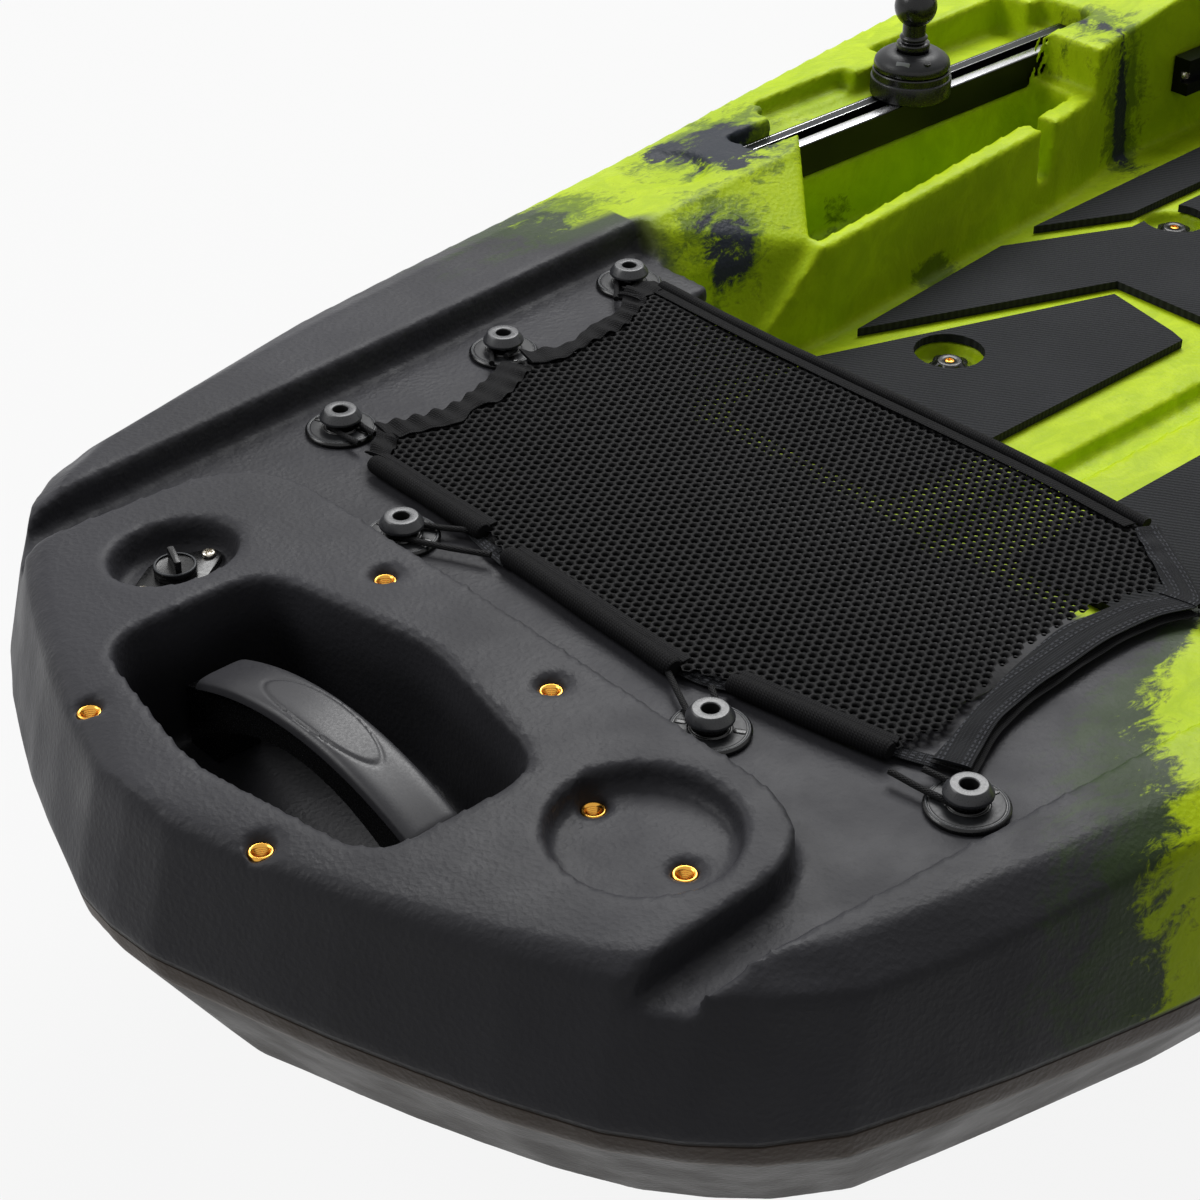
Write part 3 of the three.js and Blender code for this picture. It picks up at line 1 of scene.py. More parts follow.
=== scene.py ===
"""Looks of the fishing kayak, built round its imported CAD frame.

Lengths in calls of at() and mm() are millimetres from the foredeck datum of the CAD: X runs aft
from the line of the front corner buttons, Y to port, Z up from the inboard deck.
"""
import math

import bmesh
import bpy
import numpy as np
from mathutils import Euler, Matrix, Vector


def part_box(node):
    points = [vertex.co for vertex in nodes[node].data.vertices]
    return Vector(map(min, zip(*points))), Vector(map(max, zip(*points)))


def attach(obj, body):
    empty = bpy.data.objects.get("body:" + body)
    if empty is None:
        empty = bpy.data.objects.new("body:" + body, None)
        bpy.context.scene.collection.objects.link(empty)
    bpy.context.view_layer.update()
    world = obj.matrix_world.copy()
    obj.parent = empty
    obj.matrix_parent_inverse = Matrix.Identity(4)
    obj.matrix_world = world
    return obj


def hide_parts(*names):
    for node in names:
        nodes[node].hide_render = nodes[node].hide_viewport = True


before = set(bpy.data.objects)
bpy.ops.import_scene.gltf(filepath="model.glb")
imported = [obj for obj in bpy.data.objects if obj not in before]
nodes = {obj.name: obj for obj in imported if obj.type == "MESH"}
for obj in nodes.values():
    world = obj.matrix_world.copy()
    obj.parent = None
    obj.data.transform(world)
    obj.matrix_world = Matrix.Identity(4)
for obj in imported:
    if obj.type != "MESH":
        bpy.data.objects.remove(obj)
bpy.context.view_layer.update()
scene = bpy.context.scene
DATUM = Vector((-1.407, 0.0, 0.25))

# The studio
WORLD_AS_LIGHT = 0.2
FLOOR_REACH, FLOOR_GAP, FLOOR_ALBEDO, FLOOR_GLOW = 60.0, 0.0006, 0.42, 0.9
CAMERA_PLACE, CAMERA_AZIMUTH, CAMERA_PITCH, CAMERA_LENS = (-634, -691, 626), 48.0, 34.0, 77.31

# Places in millimetres that several pieces share
SIDES = (("port", 1), ("starboard", -1))
TRACK_Y, TRACK_END = 276, 644.4
PIVOT_X, PIVOT_Z, BACK_LEAN = 1507.5, 96, math.radians(14)
TUBE_RADIUS = 12.5

# Detail: hull voxel in metres and rounds of smoothing; net pitch and hole radius in millimetres
FULL_HULL, QUICK_HULL = (0.0026, 5), (0.008, 2)
FULL_NET, QUICK_NET = (4.9, 1.16), (9.8, 2.3)

# Stains on the hull: centre, reach and, where turned about Y, its degrees
DARK_SPOTS = [
    ((338, 278, 24), (48, 36, 40)), ((306, 300, 24), (22, 16, 40)), ((272, 224, -10), (30, 30, 26), 18),
    ((318, 240, -22), (7, 24, 26)), ((322, 256, 14), (16, 10, 14)), ((636, 242, -28), (13, 40, 84), 4),
    ((448, 226, -30), (12, 20, 26)), ((905, 330, 0), (120, 90, 60)), ((1250, -360, 20), (200, 80, 80)),
    ((1420, 400, -20), (210, 80, 90)), ((1900, -330, 0), (230, 70, 70)), ((2150, 300, -30), (250, 100, 80)),
    ((2480, -300, -20), (220, 110, 70)), ((780, -380, -10), (190, 60, 60)), ((560, -330, 10), (60, 50, 50)),
    ((3010, 60, 0), (150, 300, 140))]
GREEN_SPOTS = [
    ((340, 284, 22), (86, 60, 60)), ((276, 226, -8), (56, 46, 44)), ((190, 276, 16), (70, 40, 40)),
    ((638, 246, -28), (38, 60, 130), 4), ((408, 236, -60), (34, 40, 44)), ((430, 190, -62), (34, 26, 14)),
    ((905, 330, 0), (220, 110, 100)), ((1420, 400, -20), (320, 110, 130)),
    ((2150, 300, -30), (360, 150, 130)), ((1250, -360, 20), (320, 120, 130)),
    ((2480, -300, -20), (330, 160, 110)), ((780, -380, -10), (290, 80, 100)), ((180, -330, 0), (60, 60, 60))]


def mm(value):
    return value / 1000


def at(x, y, z):
    """A point of the row frame from millimetres at the foredeck datum."""
    return Vector((mm(x), mm(y), mm(z))) + DATUM


# Nodes --------------------------------------------------------------------------------------


class Tree:
    """A node tree, with short calls for the nodes that this scene uses."""

    def __init__(self, tree):
        self.tree = tree

    def new(self, kind, inputs=None, **settings):
        node = self.tree.nodes.new(kind)
        for key, value in settings.items():
            setattr(node, key, value)
        for key, value in (inputs or {}).items():
            self.put(node.inputs[key], value)
        return node

    def put(self, socket, value):
        if isinstance(value, bpy.types.NodeSocket):
            self.tree.links.new(value, socket)
        else:
            socket.default_value = value

    def math(self, operation, a, b=0.0, c=0.0):
        return self.new("ShaderNodeMath", {0: a, 1: b, 2: c}, operation=operation).outputs[0]

    def add(self, a, b):
        return self.math("ADD", a, b)

    def sub(self, a, b):
        return self.math("SUBTRACT", a, b)

    def mul(self, a, b):
        return self.math("MULTIPLY", a, b)

    def mad(self, a, b, c):
        """a times b, plus c."""
        return self.math("MULTIPLY_ADD", a, b, c)

    def vector(self, operation, a, b=(0, 0, 0)):
        node = self.new("ShaderNodeVectorMath", {0: a, 1: b}, operation=operation)
        return node.outputs["Value" if operation == "LENGTH" else "Vector"]

    def wave(self, value, period):
        return self.math("SINE", self.mul(value, 2 * math.pi / period))

    def away(self, value, place):
        """How far a value is from a place, either way."""
        return self.math("ABSOLUTE", self.sub(value, place))

    def axes(self, vector):
        return self.new("ShaderNodeSeparateXYZ", {0: vector}).outputs

    def noise(self, vector, scale, detail=3.0, rough=0.5, distortion=0.0):
        inputs = {"Vector": vector, "Scale": scale, "Detail": detail, "Roughness": rough,
                  "Distortion": distortion}
        return self.new("ShaderNodeTexNoise", inputs).outputs["Fac"]

    def voronoi(self, vector, scale):
        return self.new("ShaderNodeTexVoronoi", {"Vector": vector, "Scale": scale}).outputs["Distance"]

    def ramp(self, value, low, high, to_low=0.0, to_high=1.0, kind="SMOOTHSTEP"):
        inputs = {"Value": value, "From Min": low, "From Max": high, "To Min": to_low, "To Max": to_high}
        return self.new("ShaderNodeMapRange", inputs, interpolation_type=kind).outputs[0]

    def mix(self, share, a, b):
        node = self.new("ShaderNodeMix", {"Factor": share}, data_type="RGBA")
        self.put(node.inputs[6], a)
        self.put(node.inputs[7], b)
        return node.outputs[2]

    def bump(self, height, distance, strength):
        inputs = {"Height": height, "Distance": distance, "Strength": strength}
        return self.new("ShaderNodeBump", inputs).outputs[0]

    def highest(self, values):
        top = values[0]
        for value in values[1:]:
            top = self.math("MAXIMUM", top, value)
        return top


class Paint(Tree):
    """A material round one Principled shader."""

    def __init__(self, name):
        self.material = bpy.data.materials.new(name)
        self.material.use_nodes = True
        super().__init__(self.material.node_tree)
        self.shader = self.tree.nodes["Principled BSDF"]
        texture = self.new("ShaderNodeTexCoord")
        self.place, self.uv = texture.outputs["Object"], texture.outputs["UV"]

    def set(self, **inputs):
        for key, value in inputs.items():
            self.put(self.shader.inputs[key.replace("_", " ")], value)
        return self.material


# Camera and light ---------------------------------------------------------------------------


def add_camera():
    data = bpy.data.cameras.new("camera")
    data.lens = CAMERA_LENS
    data.sensor_width = 36
    data.clip_start = 0.05
    camera = bpy.data.objects.new("camera", data)
    azimuth, pitch = math.radians(CAMERA_AZIMUTH), math.radians(CAMERA_PITCH)
    look = Vector((math.cos(pitch) * math.cos(azimuth), math.cos(pitch) * math.sin(azimuth),
                   -math.sin(pitch)))
    camera.location = at(*CAMERA_PLACE)
    camera.rotation_euler = look.to_track_quat("-Z", "Y").to_euler()
    scene.collection.objects.link(camera)
    scene.camera = camera


def add_area(name, place, target, size, power):
    data = bpy.data.lights.new(name, "AREA")
    data.shape = "RECTANGLE"
    data.size, data.size_y = size
    data.energy = power
    lamp = bpy.data.objects.new(name, data)
    lamp.location = place
    lamp.rotation_euler = (Vector(target) - Vector(place)).to_track_quat("-Z", "Y").to_euler()
    scene.collection.objects.link(lamp)


def add_world():
    """White to the camera and in reflections, dim as light."""
    world = bpy.data.worlds.new("studio")
    world.use_nodes = True
    world.node_tree.nodes.clear()
    n = Tree(world.node_tree)
    path = n.new("ShaderNodeLightPath").outputs
    mirrored = n.math("MAXIMUM", path["Is Glossy Ray"], path["Is Transmission Ray"])
    seen = n.math("MAXIMUM", path["Is Camera Ray"], mirrored)
    strength = n.ramp(seen, 0.0, 1.0, WORLD_AS_LIGHT, 1.0, "LINEAR")
    background = n.new("ShaderNodeBackground", {"Strength": strength})
    n.new("ShaderNodeOutputWorld", {"Surface": background.outputs[0]})
    scene.world = world


def add_stage():
    """A floor that takes the boat's shadow and is otherwise white."""
    mesh = bpy.data.meshes.new("floor")
    corners = [(x * FLOOR_REACH, y * FLOOR_REACH, 0) for x, y in ((-1, -1), (1, -1), (1, 1), (-1, 1))]
    mesh.from_pydata(corners, [], [(0, 1, 2, 3)])
    floor = bpy.data.objects.new("floor", mesh)
    floor.location.z = -FLOOR_GAP
    scene.collection.objects.link(floor)
    material = bpy.data.materials.new("studio_floor")
    material.use_nodes = True
    material.node_tree.nodes.clear()
    n = Tree(material.node_tree)
    path = n.new("ShaderNodeLightPath").outputs
    seen = n.math("MAXIMUM", path["Is Camera Ray"], path["Is Glossy Ray"])
    diffuse = n.new("ShaderNodeBsdfDiffuse", {"Color": (FLOOR_ALBEDO, FLOOR_ALBEDO, FLOOR_ALBEDO, 1)})
    glow = n.new("ShaderNodeEmission", {"Color": (1, 1, 1, 1)})
    share = n.mul(seen, FLOOR_GLOW)
    mixed = n.new("ShaderNodeMixShader", {0: share, 1: diffuse.outputs[0], 2: glow.outputs[0]})
    n.new("ShaderNodeOutputMaterial", {"Surface": mixed.outputs[0]})
    mesh.materials.append(material)


# Materials ----------------------------------------------------------------------------------


def rgb(red, green, blue):
    """A colour from its eight-bit screen values."""
    def linear(value):
        value /= 255
        return value / 12.92 if value <= 0.04045 else ((value + 0.055) / 1.055) ** 2.4
    return (linear(red), linear(green), linear(blue), 1.0)


def plastic(name, colour, rough, grain=900.0, depth=0.00003, mottle=0.12, specular=0.25):
    """Moulded plastic: fine grain, faint mottling and a roughness that varies with it."""
    n = Paint(name)
    cloud = n.noise(n.place, 24.0, 4.0)
    fine = n.noise(n.place, grain, 2.0)
    dark = tuple(c * (1 - mottle) for c in colour[:3]) + (1,)
    light = tuple(min(1, c * (1 + mottle)) for c in colour[:3]) + (1,)
    n.set(Base_Color=n.mix(n.ramp(cloud, 0.3, 0.7), dark, light),
          Roughness=n.ramp(fine, 0.3, 0.7, rough - 0.04, rough + 0.06),
          Normal=n.bump(fine, depth, 0.6), Specular_IOR_Level=specular)
    return n.material


def metal(name, colour, rough, grain=600.0, brushed=(1, 1, 1)):
    n = Paint(name)
    stretched = n.vector("MULTIPLY", n.place, brushed)
    fine = n.noise(stretched, grain, 3.0)
    cloud = n.noise(n.place, 60.0, 3.0)
    dark = tuple(c * 0.86 for c in colour[:3]) + (1,)
    n.set(Base_Color=n.mix(n.ramp(cloud, 0.3, 0.7), dark, colour), Metallic=1.0,
          Roughness=n.ramp(fine, 0.3, 0.7, rough - 0.05, rough + 0.08), Normal=n.bump(fine, 0.00002, 0.5))
    return n.material


def cloth(name, dark, light, rib, pick, lean=0.0, stitches=()):
    """Woven fabric from a piece's own UVs in metres: ribs and picks, with rows of stitches near the edges."""
    n = Paint(name)
    u, v, _ = n.axes(n.uv)
    warp = n.wave(n.add(u, n.mul(v, lean)), rib)
    weft = n.wave(v, pick)
    weave = n.mul(n.mad(warp, 0.5, 0.5), n.mad(weft, 0.5, 0.5))
    fuzz = n.noise(n.place, 1800.0, 3.0, 0.6)
    cloud = n.noise(n.place, 45.0, 3.0)
    tone = n.mad(n.sub(cloud, 0.5), 0.5, n.mad(fuzz, 0.35, weave))
    colour = n.mix(n.ramp(tone, 0.1, 1.1), dark, light)
    height = n.mad(fuzz, 0.35, weave)
    for place in stitches:
        row = n.ramp(n.away(u, place), 0.00055, 0.0003)
        thread = n.mul(row, n.ramp(n.wave(v, 0.0034), -0.5, -0.1))
        colour = n.mix(n.mul(thread, 0.85), colour, tuple(min(1, c * 2.4) for c in light[:3]) + (1,))
        height = n.mad(thread, 1.2, height)
    n.set(Base_Color=colour, Roughness=n.ramp(fuzz, 0.3, 0.7, 0.62, 0.8), Normal=n.bump(height, 0.00035, 0.8),
          Specular_IOR_Level=0.1)
    return n.material


def braided_cord():
    n = Paint("braided_cord")
    u, v, _ = n.axes(n.uv)
    one = n.wave(n.add(u, n.mul(v, 0.55)), 0.0011)
    two = n.wave(n.sub(u, n.mul(v, 0.55)), 0.0011)
    strands = n.math("MAXIMUM", one, two)
    fuzz = n.noise(n.place, 2400.0, 2.0)
    height = n.mad(fuzz, 0.3, strands)
    n.set(Base_Color=n.mix(n.ramp(strands, 0.2, 1.0), rgb(6, 6, 7), rgb(26, 26, 28)),
          Roughness=n.ramp(fuzz, 0.3, 0.7, 0.5, 0.68), Normal=n.bump(height, 0.0003, 0.9),
          Specular_IOR_Level=0.15)
    return n.material


def net_thread():
    n = Paint("net_thread")
    fibre = n.noise(n.vector("MULTIPLY", n.place, (1.0, 2.2, 1.0)), 1500.0, 3.0, 0.6)
    cloud = n.noise(n.place, 26.0, 3.0)
    tone = n.mad(cloud, 0.6, fibre)
    n.set(Base_Color=n.mix(n.ramp(tone, 0.5, 1.1), rgb(4, 4, 5), rgb(16, 16, 17)),
          Roughness=n.ramp(fibre, 0.3, 0.7, 0.34, 0.54), Normal=n.bump(fibre, 0.00022, 0.8),
          Specular_IOR_Level=0.06)
    return n.material


def foam_pad():
    """Glued foam: a fine diagonal line texture with specks and paler clouds."""
    n = Paint("eva_foam")
    x, y, _ = n.axes(n.place)
    wobble = n.noise(n.place, 90.0, 2.0)
    lines = n.wave(n.add(n.add(x, n.mul(y, 0.62)), n.mul(wobble, 0.0012)), 0.0031)
    grain = n.noise(n.place, 1100.0, 3.0, 0.6)
    cells = n.voronoi(n.place, 620.0)
    height = n.add(n.mad(lines, 0.5, grain), n.mul(cells, 0.4))
    cloud = n.noise(n.place, 14.0, 4.0)
    colour = n.mix(n.ramp(lines, -0.6, 0.8), rgb(31, 32, 34), rgb(44, 45, 48))
    colour = n.mix(n.mul(n.ramp(cloud, 0.45, 0.75), 0.4), colour, rgb(50, 51, 54))
    n.set(Base_Color=colour, Roughness=n.ramp(grain, 0.3, 0.7, 0.66, 0.84),
          Normal=n.bump(height, 0.0004, 0.7),
          Specular_IOR_Level=0.1)
    return n.material


def blob(n, place, centre, reach, tilt=0.0):
    """A soft spot, 1 at its middle and 0 at its rim, turned about Y by tilt degrees."""
    moved = n.vector("SUBTRACT", place, tuple(mm(c) for c in centre))
    if tilt:
        moved = n.new("ShaderNodeVectorRotate", {"Vector": moved, "Angle": math.radians(tilt)},
                      rotation_type="Y_AXIS").outputs[0]
    return n.sub(1.0, n.vector("LENGTH", n.vector("DIVIDE", moved, tuple(mm(c) for c in reach))))


def hull_material():
    """Rotomoulded plastic: charcoal bow, lime hull, feathered stains between and on them, taupe keel."""
    n = Paint("hull_camouflage")
    place = n.vector("ADD", n.place, tuple(-DATUM))
    x, y, z = n.axes(place)
    side = n.math("ABSOLUTE", y)
    brush = n.noise(n.vector("MULTIPLY", place, (1.0, 1.7, 0.8)), 34.0, 8.0, 0.66, 0.9)
    fibre = n.noise(n.vector("MULTIPLY", place, (0.7, 1.5, 1.0)), 150.0, 6.0, 0.72, 1.6)
    broad = n.noise(place, 5.0, 3.0, 0.5, 0.2)
    feather = n.add(n.mul(n.sub(brush, 0.5), 1.5), n.mul(n.sub(fibre, 0.5), 0.8))
    # Where the charcoal bow ends: a crisp edge at the end of the port ledge, a feathered one elsewhere
    on_ledge = n.mul(n.ramp(y, 0.17, 0.18), n.ramp(y, 0.262, 0.252))
    edge = n.ramp(y, -0.31, -0.2, -0.012, 0.11, "LINEAR")
    edge = n.add(edge, n.ramp(y, -0.205, -0.165, 0.0, 0.125))
    edge = n.mad(n.ramp(y, 0.24, 0.256), -0.04, edge)
    ragged = n.mul(feather, n.add(n.ramp(y, 0.24, 0.256, 0.0, 0.09), n.ramp(y, -0.12, -0.17, 0.0, 0.07)))
    aft = n.sub(x, n.add(edge, ragged))
    lime = n.ramp(aft, -0.008, 0.014)
    green = n.mul(n.ramp(n.mad(feather, -0.05, aft), -0.075, -0.02),
                  n.add(n.ramp(y, 0.236, 0.25), n.ramp(y, -0.13, -0.16)))
    ledge_end = n.ramp(x, 0.2275, 0.2295)
    ledge_top = n.mul(on_ledge, n.ramp(z, -0.002, 0.004))
    lime = n.mul(lime, n.sub(1.0, n.mul(ledge_top, n.sub(1.0, ledge_end))))
    # Inside the well the floor stays charcoal under the net and turns lime just past its rear hem: partly the
    # hull's own charcoal, partly painted shade from the net.
    well = n.mul(n.ramp(z, -0.006, -0.012), n.mul(n.ramp(side, 0.24, 0.23), n.ramp(x, -0.01, 0.0)))
    well_lime = n.ramp(n.mad(feather, -0.016, x), 0.208, 0.216)
    lime = n.mad(well, n.sub(well_lime, lime), lime)
    green = n.math("MAXIMUM", n.mul(green, n.sub(1.0, well)), lime)
    dark_spots = [blob(n, place, *spot) for spot in DARK_SPOTS]
    green_spots = [blob(n, place, *spot) for spot in GREEN_SPOTS]
    dark = n.add(n.highest(dark_spots), feather)
    stain = n.mad(feather, 1.1, n.mul(n.highest(green_spots), 0.8))
    lime_tint = n.mix(n.ramp(brush, 0.36, 0.66), rgb(168, 194, 16), rgb(188, 212, 22))
    lime_tint = n.mix(n.mul(n.ramp(broad, 0.5, 0.72), 0.35), lime_tint, rgb(138, 172, 14))
    specks = n.ramp(n.noise(place, 260.0, 4.0, 0.7, 0.4), 0.63, 0.7)
    lime_tint = n.mix(n.mul(specks, 0.22), lime_tint, rgb(96, 128, 16))
    lime_tint = n.mix(n.mul(n.ramp(stain, 0.12, 0.5), 0.78), lime_tint, rgb(58, 84, 26))
    lime_tint = n.mix(n.ramp(dark, 0.2, 0.4), lime_tint, rgb(33, 38, 47))
    body = n.mix(n.ramp(broad, 0.35, 0.65), rgb(51, 51, 54), rgb(57, 57, 61))
    body = n.mix(n.mul(green, 0.8), body, rgb(50, 66, 34))
    body = n.mix(lime, body, lime_tint)
    # Painted shade: the floor of the recess under the bow handle is darkened towards near black.
    deep = n.mul(n.ramp(x, -0.09, -0.11), n.ramp(z, 0.012, -0.012))
    handle_recess_shade = n.mul(n.ramp(side, 0.094, 0.09), n.mul(deep, n.ramp(x, -0.226, -0.222)))
    body = n.mix(n.mul(handle_recess_shade, 0.6), body, rgb(22, 22, 23))
    seam = seam_height(n, x)
    depth = n.sub(seam, z)
    below = n.ramp(depth, -0.0006, 0.0006)
    outside = n.highest([n.ramp(side, 0.262, 0.27), n.ramp(z, -0.082, -0.09), n.ramp(x, -0.03, -0.05),
                          n.mul(n.ramp(x, 0.12, 0.1), n.ramp(side, 0.235, 0.24))])
    keel = n.mix(n.ramp(x, 0.12, 0.75), rgb(66, 56, 48), rgb(78, 86, 28))
    # Painted shade: below the seam band the keel colours turn into darker copies of themselves.
    keel = n.mix(n.ramp(depth, 0.012, 0.0165), keel, n.mix(n.ramp(x, 0.12, 0.75), rgb(34, 28, 23),
                                                           rgb(46, 52, 18)))
    # Painted highlight: a paler line along the lower edge of the seam band.
    rim = n.mul(n.ramp(n.away(depth, 0.0135), 0.0014, 0.0005), 0.55)
    keel = n.mix(rim, keel, rgb(96, 86, 76))
    keel = n.mix(n.mul(n.ramp(brush, 0.4, 0.65), 0.2), keel, rgb(36, 31, 27))
    body = n.mix(n.mul(below, outside), body, keel)
    # Painted shade: a near-black line along the seam crease, which the bump also presses in.
    groove = n.mul(n.ramp(n.math("ABSOLUTE", depth), 0.0016, 0.0004), outside)
    body = n.mix(n.mul(groove, 0.75), body, rgb(16, 16, 16))
    grain = n.noise(place, 520.0, 3.0, 0.6)
    pebble = n.voronoi(place, 360.0)
    height = n.add(n.mul(grain, 0.7), n.mul(pebble, 0.5))
    height = n.mad(groove, -4.0, height)
    rough = n.ramp(n.noise(place, 30.0, 4.0), 0.3, 0.7, 0.40, 0.52)
    n.set(Base_Color=body, Roughness=rough, Normal=n.bump(height, 0.0004, 0.75),
          Specular_IOR_Level=0.12)
    return n.material


def seam_height(n, x):
    """Height of the moulding seam along the hull."""
    fore = n.ramp(x, -0.265, -0.19, -0.0385, -0.0505, "LINEAR")
    middle = n.ramp(x, -0.19, 0.067, 0.0, -0.0145)
    return n.add(n.add(fore, middle), n.ramp(x, 0.067, 0.74, 0.0, -0.005))


# Meshes -------------------------------------------------------------------------------------


def grid(rows, ring=True, loop=False, caps=True, bands=None):
    """A shell over rows of points in millimetres, with its faces, UVs in metres and material bands."""
    rows = np.asarray(rows, float)
    count, width = rows.shape[:2]
    across = np.linalg.norm(np.roll(rows, -1, axis=1) - rows, axis=2)
    u = np.concatenate([np.zeros((count, 1)), np.cumsum(across, axis=1)], axis=1)
    step = np.linalg.norm(np.diff(rows.mean(axis=1), axis=0), axis=1)
    if step.sum() < 1e-6:
        step = np.linalg.norm(np.diff(rows, axis=0), axis=2).max(axis=1)
    v = np.concatenate([[0], np.cumsum(step), [step.sum() + (step[-1] if len(step) else 0)]])
    faces, uvs, marks = [], [], []
    for i in range(count if loop else count - 1):
        j = (i + 1) % count
        for k in range(width if ring else width - 1):
            m = (k + 1) % width
            faces.append((i * width + k, i * width + m, j * width + m, j * width + k))
            uvs += [(u[i, k], v[i]), (u[i, k + 1], v[i]), (u[j, k + 1], v[i + 1]), (u[j, k], v[i + 1])]
            marks.append(bands[k] if bands else 0)
    if ring and not loop and caps:
        for start, mark in ((0, 0), ((count - 1) * width, 0)):
            faces.append(tuple(range(start, start + width)))
            uvs += [(0.0, 0.0)] * width
            marks.append(bands[mark] if bands else 0)
    return rows.reshape(-1, 3), faces, np.array(uvs) / 1000, marks


def banded(shell, band):
    points, faces, uvs, marks = shell
    return points, faces, uvs, [band] * len(marks)


def moved(shell, change):
    """A shell with each of its points put through change(x, y, z)."""
    return [change(*point) for point in shell[0]], *shell[1:]


def stand(name, mesh, replaced, body):
    """A smooth-shaded object of a mesh, on its body and the CAD nodes that it stands for."""
    mesh.polygons.foreach_set("use_smooth", [True] * len(mesh.polygons))
    obj = bpy.data.objects.new(name, mesh)
    scene.collection.objects.link(obj)
    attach(obj, body)
    if replaced:
        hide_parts(*replaced)
    return obj


def build(name, shells, materials, replaced=(), body="hull", crease=38):
    """One piece from closed shells; a piece that stands for CAD nodes names them in replaced."""
    points, faces, uvs, marks, base = [], [], [], [], 0
    for shell in shells:
        points.append(np.asarray(shell[0]) / 1000 + np.array(DATUM))
        faces += [tuple(base + index for index in face) for face in shell[1]]
        uvs.append(np.asarray(shell[2]).reshape(-1, 2))
        marks += shell[3]
        base += len(shell[0])
    mesh = bpy.data.meshes.new(name)
    mesh.from_pydata(np.concatenate(points).tolist(), [], faces)
    layer = mesh.uv_layers.new(name="UVMap")
    layer.data.foreach_set("uv", np.concatenate(uvs).ravel())
    for material in materials:
        mesh.materials.append(material)
    mesh.polygons.foreach_set("material_index", marks)
    work = bmesh.new()
    work.from_mesh(mesh)
    bmesh.ops.remove_doubles(work, verts=work.verts, dist=2e-6)
    bmesh.ops.dissolve_degenerate(work, edges=work.edges, dist=1e-6)
    bmesh.ops.recalc_face_normals(work, faces=work.faces)
    work.to_mesh(mesh)
    work.free()
    obj = stand(name, mesh, replaced, body)
    mesh.set_sharp_from_angle(angle=math.radians(crease))
    return obj


def soften(profile, reach=0.4, steps=3):
    """A profile of (radius, height, band) rows with its corners drawn round."""
    soft = []
    for i, row in enumerate(profile):
        here = np.array(row[:2], float)
        if i in (0, len(profile) - 1):
            soft.append((*here, row[2]))
            continue
        back, ahead = np.array(profile[i - 1][:2]) - here, np.array(profile[i + 1][:2]) - here
        size = min(reach, np.linalg.norm(back) * 0.45, np.linalg.norm(ahead) * 0.45)
        start, end = here + back / np.linalg.norm(back) * size, here + ahead / np.linalg.norm(ahead) * size
        for s in range(steps + 1):
            t = s / steps
            place = start * (1 - t) ** 2 + here * 2 * t * (1 - t) + end * t * t
            soft.append((*place, profile[i - 1][2] if t < 0.5 else row[2]))
    return soft


def lathe(profile, centre, count=56, carve=None):
    """A shell turned about Z from (radius, height, band) rows; carve moves a point's height."""
    rows = []
    for k in range(count):
        angle = 2 * math.pi * k / count
        row = []
        for radius, height, _ in profile:
            x, y = radius * math.cos(angle), radius * math.sin(angle)
            row.append((centre[0] + x, centre[1] + y, centre[2] + (carve(x, y, height) if carve else height)))
        rows.append(row)
    return grid(rows, ring=False, loop=True, bands=[band for _, _, band in profile])


def ring_lathe(profile, centre, count=56):
    """As lathe, for a profile that closes on itself round a hole."""
    rows = [[(centre[0] + r * math.cos(2 * math.pi * k / count),
              centre[1] + r * math.sin(2 * math.pi * k / count),
              centre[2] + z) for r, z, _ in profile] for k in range(count)]
    return grid(rows, ring=True, loop=True, bands=[band for _, _, band in profile])


def smooth_line(points, pitch, closed=False):
    """A Catmull-Rom line through points, with even steps."""
    points = np.asarray(points, float)
    if closed:
        padded = np.concatenate([points[-1:], points, points[:2]])
    else:
        padded = np.concatenate([[2 * points[0] - points[1]], points, [2 * points[-1] - points[-2]]])
    dense = []
    for a, b, c, d in zip(padded, padded[1:], padded[2:], padded[3:]):
        for t in np.linspace(0, 1, 16, endpoint=False):
            dense.append(0.5 * (2 * b + (c - a) * t + (2 * a - 5 * b + 4 * c - d) * t * t
                                + (3 * b - a - 3 * c + d) * t ** 3))
    dense.append(points[0] if closed else points[-1])
    return even_line(dense, pitch)


def even_line(points, pitch, count=None):
    points = np.asarray(points, float)
    reach = np.concatenate([[0], np.cumsum(np.linalg.norm(np.diff(points, axis=0), axis=1))])
    count = count or max(2, int(round(reach[-1] / pitch)) + 1)
    places = np.linspace(0, reach[-1], count)
    return np.stack([np.interp(places, reach, points[:, axis]) for axis in range(3)], axis=1)


def sweep(line, section, closed=False, up=(0, 0, 1), caps=True):
    """A shell drawn along a line; section(i, t) gives its offsets aside and up, in millimetres."""
    line = np.asarray(line, float)
    count = len(line)
    up = np.array(up, float)
    rows = []
    for i, place in enumerate(line):
        ahead, behind = (i + 1) % count if closed else min(i + 1, count - 1), i - 1 if closed else max(i - 1,
                                                                                                       0)
        along = line[ahead] - line[behind]
        along /= np.linalg.norm(along)
        aside = np.cross(along, up)
        aside /= max(np.linalg.norm(aside), 1e-9)
        over = np.cross(aside, along)
        rows.append([place + aside * a + over * b for a, b in section(i, i / max(count - 1, 1))])
    return grid(rows, ring=True, loop=closed, caps=caps)


def circle(radius, sides=16):
    points = [(radius * math.cos(2 * math.pi * k / sides), radius * math.sin(2 * math.pi * k / sides))
              for k in range(sides)]
    return lambda i, t: points


